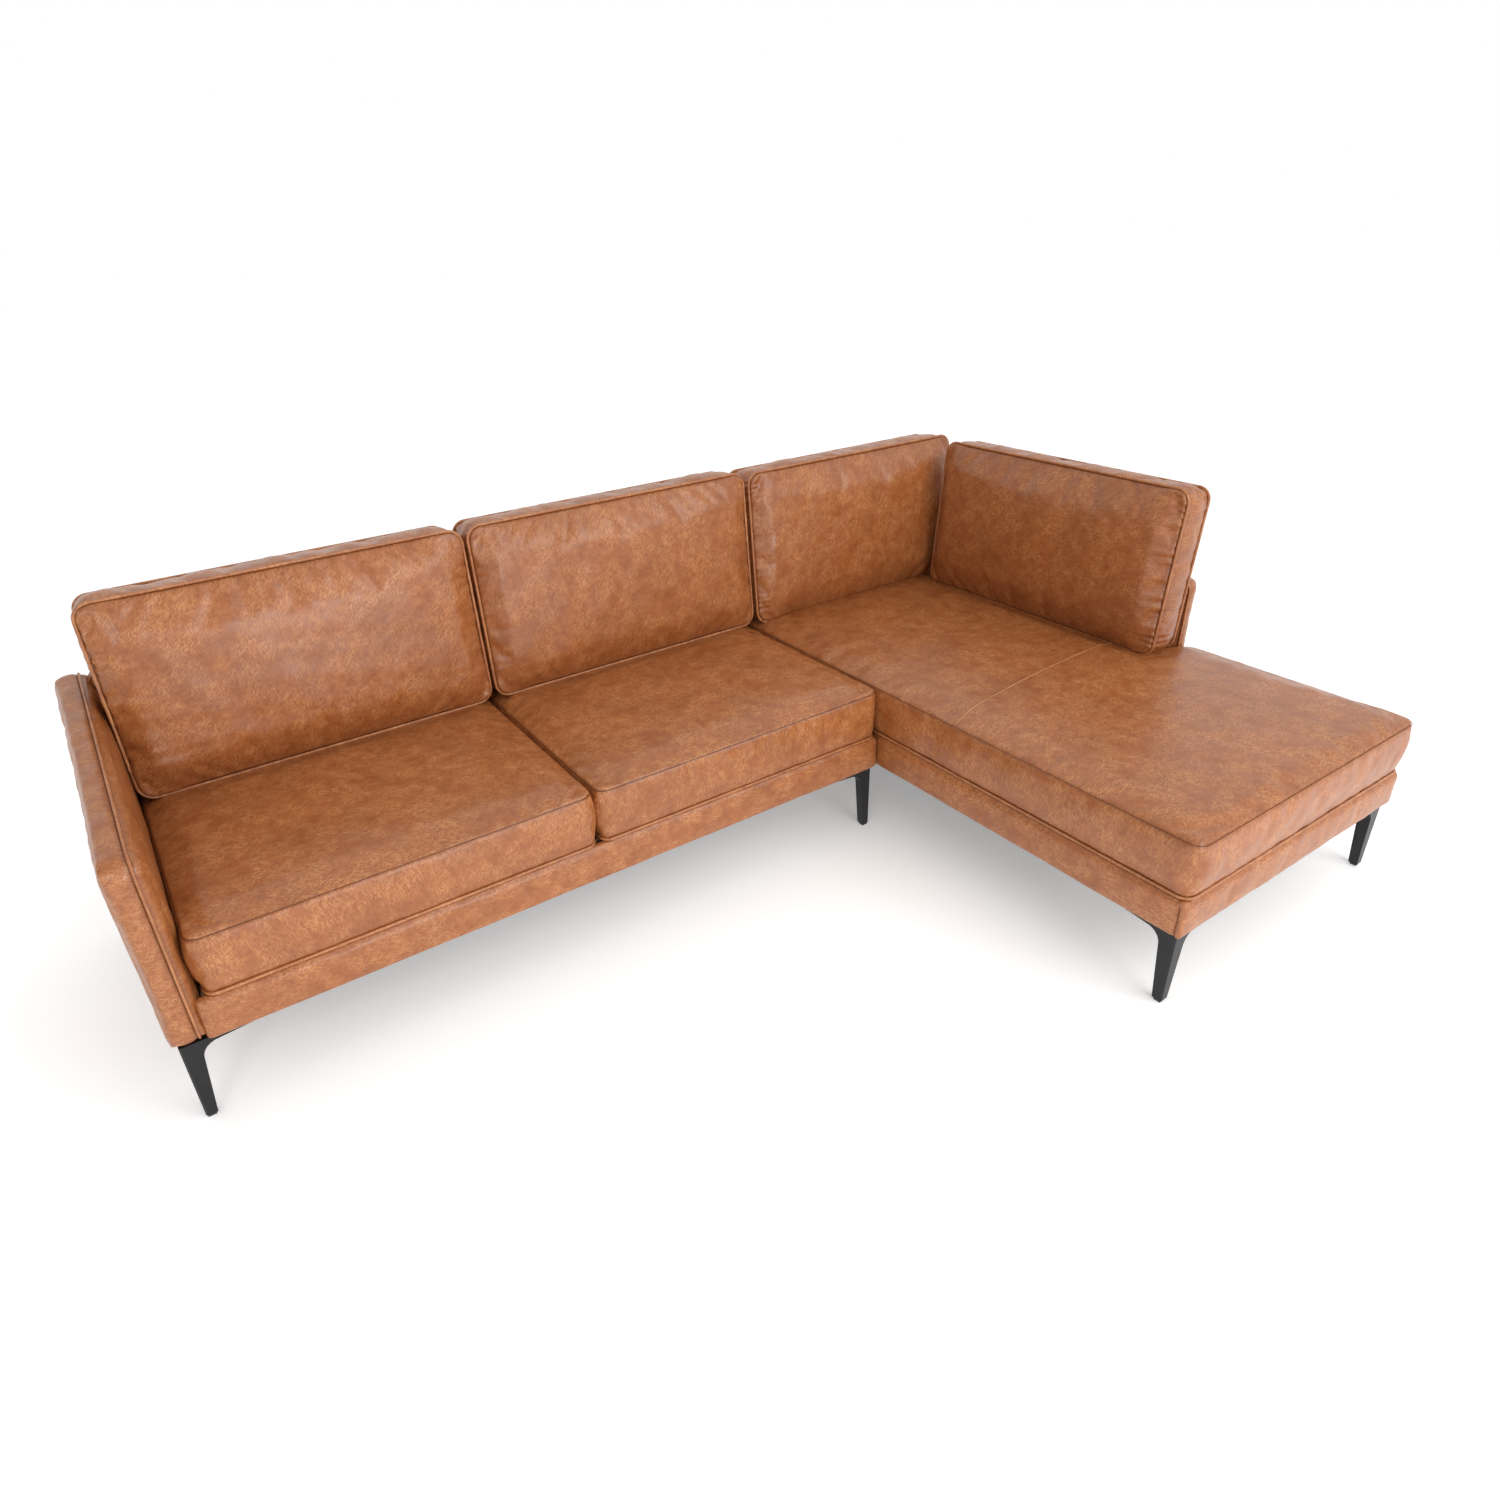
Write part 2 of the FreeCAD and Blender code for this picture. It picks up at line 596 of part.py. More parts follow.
class Cushion:
    """Form of one cushion, from plain numbers read off the sheet."""

    def __init__(self, width, run, edge, face_crown, rear_crown):
        self.width = float(width)
        self.run = float(run)
        self.edge = float(edge)
        self.face_crown = float(face_crown)
        self.rear_crown = float(rear_crown)

    def fullness(self, along):
        """Share of the crown at a section: full over the middle, none at the ends."""
        return 1 - (2 * along / self.run - 1) ** 4

    def share(self, along, across):
        """Share of the crown at any place, by straight runs between the sections."""
        spots = [place_along for place_along, _ in self.stations()]
        lower = max(spot for spot in spots[:-1] if spot <= max(along, 0))
        upper = min(spot for spot in spots[1:] if spot > lower)
        part = (along - lower) / (upper - lower)
        level = (1 - part) * self.fullness(lower) + part * self.fullness(upper)
        return max(0, level * (1 - (2 * across / self.width) ** 2))

    def stations(self):
        """Places along the cushion, each with how far its section is drawn in there."""
        end, draw = float(s.end_run), float(s.corner_draw)
        near_end = [(0.0, draw), (0.2 * end, 0.45 * draw), (end, 0.0)]
        middle = [(share * self.run, 0.0) for share in (0.2, 0.5, 0.8)]
        far_end = [(self.run - along, drawn) for along, drawn in reversed(near_end)]
        return near_end + middle + far_end

    def section(self, along, drawn):
        """One closed section: swollen sides between drawn-in corners, with both faces crowned."""
        half = self.width / 2 - drawn
        corner = half - float(s.side_swell)
        full = self.fullness(along)
        shrink = 0.35 * drawn
        low, high = shrink, self.edge - shrink
        top = high + self.face_crown * full
        bottom = low - self.rear_crown * full
        spots = {
            "low_left": (-corner, low), "low_right": (corner, low),
            "high_left": (-corner, high), "high_right": (corner, high),
            "left": (-half, (low + high) / 2), "right": (half, (low + high) / 2),
            "top": (0, top), "bottom": (0, bottom),
        }
        at = {name: FreeCAD.Vector(x, along, z) for name, (x, z) in spots.items()}
        lower = (Part.Arc(at["low_left"], at["bottom"], at["low_right"]) if low - bottom > 0.01
                 else Part.LineSegment(at["low_left"], at["low_right"]))
        upper = (Part.Arc(at["high_right"], at["top"], at["high_left"]) if top - high > 0.01
                 else Part.LineSegment(at["high_right"], at["high_left"]))
        right = Part.Arc(at["low_right"], at["right"], at["high_right"])
        left = Part.Arc(at["high_left"], at["left"], at["low_left"])
        return Part.Wire([curve.toShape() for curve in (lower, right, upper, left)])

    def solid(self):
        """The outer form."""
        return Part.makeLoft([self.section(along, drawn) for along, drawn in self.stations()], True, True)

    def core(self, play):
        """The block of foam inside the wadding, larger by some play on every side."""
        side = float(s.corner_draw) + float(s.side_swell) + float(s.wadding) - play
        end = float(s.wadding) - play
        return Part.makeBox(self.width - 2 * side, self.run - 2 * end, self.edge - 2 * end,
                            FreeCAD.Vector(side - self.width / 2, end, end))

    def rise(self, along, across):
        """Height of the crowned face above the lower face."""
        return self.edge + self.face_crown * self.share(along, across)


def cushion_pair(cover_label, core_label, form, placement, notch=None):
    """A padded cover and the foam core that fills it. A notch is cut out of both, wider for the core."""
    play = float(s.rest_gap)
    outer, room, core = form.solid(), form.core(play), form.core(0)
    if notch:
        outer = outer.cut(notch(0))
        room = room.cut(notch(float(s.wadding) - play))
        core = core.cut(notch(float(s.wadding)))
    made = []
    for label, shape in ((cover_label, outer.cut(room)), (core_label, core)):
        item = doc.addObject("Part::Feature", label)
        item.Label = label
        item.Shape = shape
        item.Placement = placement
        made.append(item)
    return made


def seat_cushions():
    """Two seat cushions and the long one of the chaise, cut back beside the side back."""
    gap = s.cushion_gap
    seat = Cushion(s.seat_pitch - gap, s.unit_depth - wall - s.rest_gap, s.seat_edge, s.seat_crown, 0)
    long_run = wall_face - chaise_front - s.rest_gap
    chaise = Cushion(s.chaise_width, long_run, s.seat_edge, s.seat_crown, 0)
    low = float(base_top + s.rest_gap)
    made = []
    for index, side in enumerate(("left", "middle")):
        x = float(arm_face + (index + 0.5) * s.seat_pitch)
        spot = FreeCAD.Placement(FreeCAD.Vector(x, float(sofa_front), low), FreeCAD.Rotation())
        made += cushion_pair("seat_cushion_" + side, "seat_core_" + side, seat, spot)
    notch_width = float(side_wall + gap)
    notch_start = float(side_front - chaise_front - gap)

    def beside_side_back(margin):
        corner = FreeCAD.Vector(float(s.chaise_width) / 2 - notch_width - margin, notch_start - margin,
                                -float(s.seat_edge))
        return Part.makeBox(notch_width + margin, float(long_run) - notch_start + margin,
                            3 * float(s.seat_edge), corner)

    spot = FreeCAD.Placement(
        FreeCAD.Vector(float(chaise_start + s.chaise_width / 2), float(chaise_front), low), FreeCAD.Rotation())
    made += cushion_pair("seat_cushion_chaise", "seat_core_chaise", chaise, spot, beside_side_back)
    return seat, chaise, made


def rest_place(form, wall_top, seat_rise):
    """Where a leaning cushion rests: its rear edge in front of the wall, and above the base.

    Its swollen rear face lies on the rim of the wall, whose height wall_top gives for each place
    across the cushion. Its lower end lies on the seat, whose height seat_rise gives for each place
    across it and each distance in front of the wall.
    """
    lean = math.radians(float(s.lean_degrees))
    play = float(s.rest_gap)
    rim = float(s.pad_bevel)
    samples = [step / 20 for step in range(21)]
    height = float(s.seat_edge)
    for _ in range(4):
        set_out = 0
        for share in samples:
            across = (share - 0.5) * form.width
            reach = (wall_top(across) - rim - height) / math.cos(lean)
            swell = form.rear_crown * form.share(reach, across)
            set_out = max(set_out, reach * math.sin(lean) + swell * math.cos(lean))
        height = 0
        for share in samples:
            for step in samples:
                ahead = step * form.edge
                level = seat_rise((share - 0.5) * form.width, set_out + ahead * math.cos(lean))
                height = max(height, level - ahead * math.sin(lean))
        set_out += 2 * play
        height += 2 * play
    return set_out, height


def back_cushions(seat, chaise):
    """Three cushions along the back and one against the side back, each leaning on its wall."""
    gap = s.cushion_gap
    base = float(base_top)
    upright = FreeCAD.Rotation(FreeCAD.Vector(1, 0, 0), 90 - float(s.lean_degrees))
    corner_width = side_face - chaise_start - gap
    side_length = wall_face - side_front + s.side_set_back - s.back_edge - s.side_clear
    side_middle = side_front - s.side_set_back + side_length / 2
    chaise_middle = chaise_start + s.chaise_width / 2

    def back_top(across):
        return float(s.wall_high - s.base_rise)

    def side_top(across):
        """Height of the sloping side back above the base."""
        slope = float(s.wall_high - s.wall_low) / float(wall_face - side_front)
        return float(s.wall_high - s.base_rise) - slope * (float(wall_face - side_middle) + across)

    def on_seat(across, ahead):
        return seat.rise(seat.run - ahead, across)

    def on_chaise(across, ahead):
        return chaise.rise(chaise.run - ahead, across - float(chaise_middle - chaise_start - corner_width / 2))

    def beside_chaise(across, ahead):
        return chaise.rise(float(side_middle - chaise_front) - across, float(side_face - chaise_middle) - ahead)

    def form(width, edge):
        return Cushion(width, s.back_height, edge, s.face_crown, s.rear_crown)

    wide = form(s.seat_pitch - gap, s.back_edge)
    corner = form(corner_width, s.back_edge)
    side = form(side_length, s.side_edge)
    made = []
    rows = [
        ("left", wide, arm_face + 0.5 * s.seat_pitch, on_seat),
        ("middle", wide, arm_face + 1.5 * s.seat_pitch, on_seat),
        ("right", corner, chaise_start + gap / 2 + corner_width / 2, on_chaise),
    ]
    for name, shape, x, below in rows:
        set_out, height = rest_place(shape, back_top, below)
        spot = FreeCAD.Placement(FreeCAD.Vector(float(x), float(wall_face) - set_out, base + height), upright)
        made += cushion_pair("back_cushion_" + name, "back_core_" + name, shape, spot)
    set_out, height = rest_place(side, side_top, beside_chaise)
    quarter = FreeCAD.Rotation(FreeCAD.Vector(0, 0, 1), -90)
    spot = FreeCAD.Placement(FreeCAD.Vector(float(side_face) - set_out, float(side_middle), base + height),
                             quarter.multiply(upright))
    made += cushion_pair("side_cushion", "side_core", side, spot)
    return made


# The cast legs with their glides and screws, and the connectors between the two units.

def leg(label, corner):
    """A cast corner leg: a tapered column with a curved arm under each of the two rails."""
    body = new_body(label)
    height = s.leg_rise - s.glide_rise
    tip_low = height - s.leg_tip
    neck_top = height - s.leg_arm_deep
    points = [(0, 0), (s.leg_foot, 0), (s.leg_neck, neck_top), (s.leg_arm, tip_low), (s.leg_arm, height),
              (0, height)]
    blade = pad(body, "BladeX", "XZ_Plane", points, s.leg_foot, True)
    inner = edges_at(blade.Shape, lambda box: near(box.XMin, s.leg_neck) and near(box.XMax, s.leg_neck))
    rounded(body, "CurveX", inner, s.leg_curve)
    other = pad(body, "BladeY", "YZ_Plane", points, s.leg_foot)
    inner = edges_at(other.Shape, lambda box: near(box.YMin, s.leg_neck) and near(box.YMax, s.leg_neck)
                     and near(box.ZMin, neck_top))
    rounded(body, "CurveY", inner, s.leg_curve)
    upright = edges_at(body.Shape, lambda box: box.XMax < 0.01 and box.YMax < 0.01)
    rounded(body, "OuterEdge", upright, s.leg_edge, "PartDesign::Chamfer")
    foot = edges_at(body.Shape, lambda box: box.ZMax < 0.01)
    rounded(body, "FootEdge", foot, s.foot_chamfer, "PartDesign::Chamfer")
    middle = s.leg_foot / 2
    half = s.screw_head / 2 + s.screw_play
    seats = new_sketch(body, "HeadSeats_outline", "XY_Plane")
    for x, y in ((s.screw_reach, middle), (middle, s.screw_reach)):
        add_outline(seats, [(x - half, y - half), (x + half, y - half), (x + half, y + half), (x - half, y + half)])
    pocket(body, "HeadSeats", seats, True, height - s.screw_seat)
    holes = new_sketch(body, "ScrewHoles_outline", "XY_Plane")
    add_circle(holes, s.screw_reach, middle, s.screw_wide + 2 * s.screw_play)
    add_circle(holes, middle, s.screw_reach, s.screw_wide + 2 * s.screw_play)
    pocket(body, "ScrewHoles", holes, True)
    x, y, along_x, along_y = corner
    turn = {(1, 1): 0, (-1, 1): 90, (-1, -1): 180, (1, -1): 270}[(along_x, along_y)]
    place(body, x, y, s.glide_rise, turn)
    return body


def screw(x, y, seat):
    """A screw with its head under a seat at some distance below the timber."""
    head = rod("screw_head", x, y, s.leg_rise - seat - s.head_rise, s.screw_head, s.head_rise)
    shank = rod("screw_shank", x, y, s.leg_rise - seat - s.head_rise / 2, s.screw_wide,
                seat + s.head_rise / 2 + s.screw_depth - 1)
    item = doc.addObject("Part::Fuse", "screw")
    item.Base = head
    item.Tool = shank
    return item


def legs():
    made = [leg(name, corner) for name, corner in LEG_CORNERS.items()]
    glides = []
    for x, y, along_x, along_y in LEG_CORNERS.values():
        low_x = x + along_x * s.leg_foot / 2 - s.glide_wide / 2
        low_y = y + along_y * s.leg_foot / 2 - s.glide_wide / 2
        glides.append(block("glide", low_x, low_y, 0, s.glide_wide, s.glide_wide, s.glide_rise))
    made.append(group("leg_glides", glides))
    return made


def plate_holes(body, places):
    """Twelve-sided holes for screws through a steel plate, from below."""
    holes = new_sketch(body, "ScrewHoles_outline", "XY_Plane")
    radius = s.screw_wide / 2 + s.screw_play
    angles = [math.radians(30 * step) for step in range(12)]
    for x, y in places:
        add_outline(holes, [(x + radius * math.cos(angle), y + radius * math.sin(angle)) for angle in angles])
    pocket(body, "ScrewHoles", holes, True)


def receiver(y):
    """A folded steel pocket under the end rail of the two-seat unit, with a screw ear on each side."""
    body = new_body("receiver")
    deep = 3 * s.plate_thick + s.hook_play
    full = 2 * RECEIVER_HALF
    ear_low = deep - s.plate_thick
    points = [
        (s.ear_wide, 0), (full - s.ear_wide, 0), (full - s.ear_wide, ear_low), (full, ear_low),
        (full, deep), (full - s.ear_wide - s.plate_thick, deep),
        (full - s.ear_wide - s.plate_thick, s.plate_thick), (s.ear_wide + s.plate_thick, s.plate_thick),
        (s.ear_wide + s.plate_thick, deep), (0, deep), (0, ear_low), (s.ear_wide, ear_low),
    ]
    pad(body, "Pocket", "YZ_Plane", points, PLATE_RUN)
    middle = PLATE_RUN / 2
    plate_holes(body, [(middle, s.ear_wide / 2), (middle, full - s.ear_wide / 2)])
    place(body, sofa_end - s.band_thick - PLATE_RUN, y - RECEIVER_HALF, s.leg_rise - deep)
    return body


def hook(y):
    """A cranked steel tongue under the left rail of the chaise that reaches into a receiver."""
    body = new_body("hook")
    bend = PLATE_RUN + 2 * s.band_thick + s.unit_gap
    reach = bend + PLATE_RUN
    drop = s.plate_thick + s.hook_play / 2
    points = [
        (0, 0), (bend - drop, 0), (bend, drop), (reach, drop), (reach, drop + s.plate_thick),
        (bend - drop / 2, drop + s.plate_thick), (bend - 1.5 * drop, s.plate_thick), (0, s.plate_thick),
    ]
    pad(body, "Tongue", "XZ_Plane", points, s.hook_wide, True)
    line = reach - PLATE_RUN / 2
    middle = s.hook_wide / 2
    plate_holes(body, [(line, middle - s.hook_screw_shift), (line, middle + s.hook_screw_shift)])
    place(body, sofa_end - s.band_thick - PLATE_RUN, y - middle, s.leg_rise - s.plate_thick - drop)
    return body


def connectors():
    """Two hooks and two receivers, which hold the two units together."""
    return group("unit_connectors", [make(y) for y in CONNECTOR_PLACES for make in (receiver, hook)])


def screws():
    """All the screws, which are alike: those of the legs and those of the connectors."""
    leg_places = [spot for pair in SCREWS.values() for spot in pair]
    items = [screw(x, y, s.screw_seat) for x, y in leg_places]
    items += [screw(x, y, s.plate_thick) for x, y in RECEIVER_SCREWS + HOOK_SCREWS]
    return group("frame_screws", items)


def build():
    nodes = sofa_base() + chaise_base() + walls()
    seat, chaise, cushions = seat_cushions()
    nodes += cushions + back_cushions(seat, chaise)
    nodes += legs() + [screws(), connectors()]
    return nodes


def check(nodes):
    """Stop at a failed object or at a sub-part with no sound solid."""
    for item in doc.Objects:
        if "Invalid" in item.State or "Error" in item.State:
            raise RuntimeError("failed object: " + item.Label)
    for item in nodes:
        if item.Shape.isNull() or not item.Shape.isValid() or not item.Shape.Solids:
            raise RuntimeError("unsound shape: " + item.Label)
    if len({item.Label for item in nodes}) != len(nodes):
        raise RuntimeError("two sub-parts share a name")


nodes = build()
doc.recompute()
check(nodes)
os.makedirs("parts", exist_ok=True)
for node in nodes:
    node.Shape.exportStep("parts/" + node.Label + ".step")
print(len(nodes), "sub-parts,", sum(len(node.Shape.Solids) for node in nodes), "solids")
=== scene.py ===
"""The looks of a corner sofa with a chaise: leather pads, piping, bands and finishes round its frame."""

import logging
import math
from dataclasses import dataclass
from enum import Enum
from typing import Optional, Sequence

import bmesh
import bpy
import numpy as np
from mathutils import Matrix, Vector
from mathutils.bvhtree import BVHTree
from mathutils.kdtree import KDTree


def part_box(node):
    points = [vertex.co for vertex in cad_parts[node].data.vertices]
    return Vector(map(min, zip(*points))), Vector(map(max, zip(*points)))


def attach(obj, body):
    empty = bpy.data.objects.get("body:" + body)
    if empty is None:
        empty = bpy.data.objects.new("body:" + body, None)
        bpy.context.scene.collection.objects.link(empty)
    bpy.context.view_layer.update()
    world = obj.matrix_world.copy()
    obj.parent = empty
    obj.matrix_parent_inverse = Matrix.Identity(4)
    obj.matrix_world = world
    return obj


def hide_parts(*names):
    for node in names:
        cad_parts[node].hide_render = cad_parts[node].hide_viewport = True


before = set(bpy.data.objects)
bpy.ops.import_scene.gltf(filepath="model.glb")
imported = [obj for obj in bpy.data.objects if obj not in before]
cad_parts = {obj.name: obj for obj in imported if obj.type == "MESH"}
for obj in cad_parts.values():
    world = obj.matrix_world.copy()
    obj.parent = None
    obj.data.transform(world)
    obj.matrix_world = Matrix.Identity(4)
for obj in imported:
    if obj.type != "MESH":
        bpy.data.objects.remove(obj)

log = logging.getLogger("sofa")
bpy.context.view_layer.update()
RIM = 1 - 1e-6
TINY = 1e-9
LAST_FRAME = 20
UP = Vector((0, 0, 1))
Colour = tuple[float, float, float]
Socket = bpy.types.NodeSocket
Material = bpy.types.Material
Object = bpy.types.Object


class Panel(Enum):
    """The six leather panels of a box-shaped pad."""

    FACE = 0
    BACK = 1
    LEFT = 2
    RIGHT = 3
    LOWER = 4
    UPPER = 5


class Trim(Enum):
    """How the seam round a pad's face or back is finished."""

    NONE = "none"
    PIPED = "piped"
    PLAIN = "plain"


class Coordinates(Enum):
    """What a finish takes its pattern's place from."""

    PANELS = "panels"
    OBJECT = "object"


class Graph:
    """A shader under construction, with short ways to add and join its nodes."""

    def __init__(self, name: str) -> None:
        """Start a material with a plain surface shader."""
        self.material = bpy.data.materials.new(name)
        self.material.use_nodes = True
        self.tree = self.material.node_tree
        self.surface = next(node for node in self.tree.nodes if node.type == "BSDF_PRINCIPLED")

    def add(self, kind: str, settings: Optional[dict] = None, **inputs: object) -> bpy.types.Node:
        """Add a node."""
        node = self.tree.nodes.new(kind)
        for name, value in (settings or {}).items():
            setattr(node, name, value)
        for name, value in inputs.items():
            self.feed(node.inputs[name.replace("_", " ")], value)
        return node

    def feed(self, socket: Socket, value: object) -> None:
        """Join a socket to an input, or set the input to a plain value."""
        if isinstance(value, Socket):
            self.tree.links.new(value, socket)
        else:
            socket.default_value = value

    def math(self, operation: str, first: object, second: object = 0.5, clamp: bool = False) -> Socket:
        """Work out one number from two."""
        node = self.tree.nodes.new("ShaderNodeMath")
        node.operation = operation
        node.use_clamp = clamp
        self.feed(node.inputs[0], first)
        self.feed(node.inputs[1], second)
        return node.outputs[0]

    def blend(self, share: object, first: object, second: object) -> Socket:
        """Mix two colours."""
        node = self.tree.nodes.new("ShaderNodeMix")
        node.data_type = "RGBA"
        colours = [socket for socket in node.inputs if socket.type == "RGBA"]
        self.feed(node.inputs[0], share)
        self.feed(colours[0], first)
        self.feed(colours[1], second)
        return next(socket for socket in node.outputs if socket.type == "RGBA")

    def ramp(self, value: Socket, low: float, high: float) -> Socket:
        """Stretch a range of numbers smoothly to 0 and 1."""
        node = self.tree.nodes.new("ShaderNodeMapRange")
        node.interpolation_type = "SMOOTHSTEP"
        self.feed(node.inputs["Value"], value)
        node.inputs["From Min"].default_value = low
        node.inputs["From Max"].default_value = high
        return node.outputs["Result"]

    def noise(self, place: Socket, scale: float, detail: float = 4.0, rough: float = 0.55) -> Socket:
        """Read a soft random pattern."""
        node = self.add("ShaderNodeTexNoise", None, Vector=place, Scale=scale, Detail=detail, Roughness=rough)
        return node.outputs["Fac"]

    def mapped(self, place: Socket, scale: Sequence[float], turn: float = 0.0,
               shift: Sequence[float] = (0, 0, 0)) -> Socket:
        """Turn, shift and stretch the place that a pattern is read at."""
        node = self.add("ShaderNodeMapping", None, Vector=place)
        node.inputs["Scale"].default_value = scale
        node.inputs["Rotation"].default_value = (0, 0, math.radians(turn))
        node.inputs["Location"].default_value = shift
        return node.outputs["Vector"]

    def place(self, source: Coordinates) -> Socket:
        """Give the place on a piece that patterns are read at."""
        if source is Coordinates.PANELS:
            return self.add("ShaderNodeUVMap", {"uv_map": "Panels"}).outputs["UV"]
        return self.add("ShaderNodeTexCoord").outputs["Object"]

    def attribute(self, name: str) -> Socket:
        """Read a number stored at the vertices of a piece."""
        return self.add("ShaderNodeAttribute", {"attribute_name": name}).outputs["Fac"]

    def gloss(self, pattern: Socket, spread: float, roughness: float) -> None:
        """Set a roughness that varies with a pattern about its middle."""
        share = self.math("MULTIPLY_ADD", pattern, spread)
        share.node.inputs[2].default_value = roughness - spread / 2
        self.feed(self.surface.inputs["Roughness"], share)

    def relief(self, height: Socket, strength: float, distance: float) -> None:
        """Set a fine relief."""
        bump = self.add("ShaderNodeBump", None, Height=height, Strength=strength, Distance=distance)
        self.feed(self.surface.inputs["Normal"], bump.outputs["Normal"])


@dataclass(frozen=True)
class Leather:
    """Tan leather with a distressed pull-up finish: softly mottled, with fine light creases; on the pads' panels it
    also carries painted shade at the seams and towards one edge.
    """

    name: str
    source: Coordinates
    deep: Colour = (0.185, 0.051, 0.0135)
    body: Colour = (0.368, 0.116, 0.031)
    pale: Colour = (0.610, 0.290, 0.108)
    # Colour of the painted shadow in the seams' creases.
    shadow: Colour = (0.045, 0.013, 0.006)
    roughness: float = 0.345
    specular: float = 0.6
    # Shares of painted shade: the painted shadow in each seam's crease, and the broader painted shade by the seams and
    # towards one edge.
    seam_darkness: float = 0.8
    painted_shade_darkness: float = 0.5

    def material(self) -> Material:
        """Build the shader.

        Returns:
            The finished material.
        """
        graph = Graph(self.name)
        place = self.warped(graph, graph.place(self.source))
        broad = graph.noise(place, 7.0, 2.0)
        clouds = graph.noise(place, 30.0, 5.0, 0.62)
        cover = graph.noise(place, 15.0, 2.0, 0.6)
        fine = graph.noise(place, 120.0, 3.0, 0.6)
        streaks, scars = self.streaks(graph, place)
        layers = [
            (graph.ramp(clouds, 0.56, 0.28), 0.30, self.deep),
            (graph.ramp(clouds, 0.50, 0.74), 0.18, self.pale),
            (graph.ramp(fine, 0.52, 0.34), 0.30, self.deep),
            (scars, 0.36, self.deep),
            (graph.math("MULTIPLY", streaks, graph.ramp(cover, 0.30, 0.62)), 0.58, self.pale),
            (graph.ramp(broad, 0.60, 0.36), 0.22, self.deep),
        ]
        # On the pads' panels: a painted shadow in each seam's crease, and painted shade by the seams and towards one
        # edge, which also stands for the darker tone of less-handled leather.
        if self.source is Coordinates.PANELS:
            layers.append((graph.attribute("seam"), self.seam_darkness, self.shadow))
            layers.append((graph.attribute("tuck"), self.painted_shade_darkness, self.deep))
        colour = (*self.body, 1)
        for mask, share, tint in layers:
            colour = graph.blend(graph.math("MULTIPLY", mask, share), colour, (*tint, 1))
        graph.feed(graph.surface.inputs["Base Color"], colour)
        graph.gloss(clouds, 0.26, self.roughness)
        graph.surface.inputs["Specular IOR Level"].default_value = self.specular
        graph.relief(graph.noise(place, 330.0, 2.0, 0.6), 0.16, 0.0009)
        return graph.material

    @staticmethod
    def warped(graph: Graph, flat: Socket) -> Socket:
        """Let the place that the patterns are read at wander a little, so that no crease is straight."""
        wander = graph.add("ShaderNodeTexNoise", None, Vector=flat, Scale=22.0, Detail=2.0)
        offset = graph.add("ShaderNodeVectorMath", {"operation": "SCALE"}, Scale=0.0030)
        graph.feed(offset.inputs[0], wander.outputs["Color"])
        total = graph.add("ShaderNodeVectorMath", {"operation": "ADD"})
        graph.feed(total.inputs[0], flat)
        graph.feed(total.inputs[1], offset.outputs[0])
        return total.outputs[0]

    @staticmethod
    def streaks(graph: Graph, place: Socket) -> tuple[Socket, Socket]:
        """Fine creases like short hairs, most of them along the hide, and darker scuffs between them."""
        light, dark = None, None
        for turn, along, across in ((9, 46.0, 340.0), (-24, 52.0, 360.0), (34, 50.0, 330.0), (-58, 64.0, 380.0)):
            turned = graph.mapped(place, (1.0, 1.0, 1.0), turn, (turn * 0.13, turn * 0.21, 0))
            fibre = graph.noise(graph.mapped(turned, (along, across, 1.0)), 1.0, 1.0, 0.6)
            hair = graph.ramp(fibre, 0.57, 0.68)
            scuff = graph.ramp(fibre, 0.40, 0.28)
            light = hair if light is None else graph.math("MAXIMUM", light, hair)
            dark = scuff if dark is None else graph.math("MAXIMUM", dark, scuff)
        return light, dark


@dataclass(frozen=True)
class PlainFinish:
    """An even finish with a little variation and relief: paint, plastic or steel."""

    name: str
    colour: Colour
    roughness: float
    metallic: float = 0.0
    variation: float = 0.2
    pitch: float = 90.0
    relief: float = 0.0004

    def material(self) -> Material:
        """Build the shader."""
        graph = Graph(self.name)
        place = graph.place(Coordinates.OBJECT)
        patches = graph.noise(place, self.pitch, 5.0, 0.6)
        dim = tuple(value * (1 - self.variation) for value in self.colour)
        colour = graph.blend(graph.ramp(patches, 0.35, 0.68), (*dim, 1), (*self.colour, 1))
        graph.feed(graph.surface.inputs["Base Color"], colour)
        graph.gloss(patches, 0.16, self.roughness)
        graph.surface.inputs["Metallic"].default_value = self.metallic
        graph.relief(graph.noise(place, self.pitch * 9, 3.0), 0.3, self.relief)
        return graph.material


@dataclass(frozen=True)
class WovenFinish:
    """A plain weave: webbing, dust cloth and the cloth of the decks."""

    name: str
    colour: Colour
    thread: float
    roughness: float = 0.85

    def material(self) -> Material:
        """Build the shader.

        Returns:
            The finished material.
        """
        graph = Graph(self.name)
        place = graph.place(Coordinates.OBJECT)
        waves = []
        for axis in ("X", "Y"):
            wave = graph.add("ShaderNodeTexWave", {"bands_direction": axis}, Vector=place, Distortion=0.4)
            wave.inputs["Scale"].default_value = 1 / (self.thread * 2 * math.pi) * 3
            waves.append(wave.outputs["Fac"])
        weave = graph.math("MULTIPLY", waves[0], waves[1])
        fuzz = graph.noise(place, 300.0, 3.0)
        dim = tuple(value * 0.45 for value in self.colour)
        share = graph.math("ADD", graph.math("MULTIPLY", weave, 0.7), graph.math("MULTIPLY", fuzz, 0.4), True)
        graph.feed(graph.surface.inputs["Base Color"], graph.blend(share, (*dim, 1), (*self.colour, 1)))
        graph.surface.inputs["Roughness"].default_value = self.roughness
        graph.relief(weave, 0.5, 0.0006)
        return graph.material


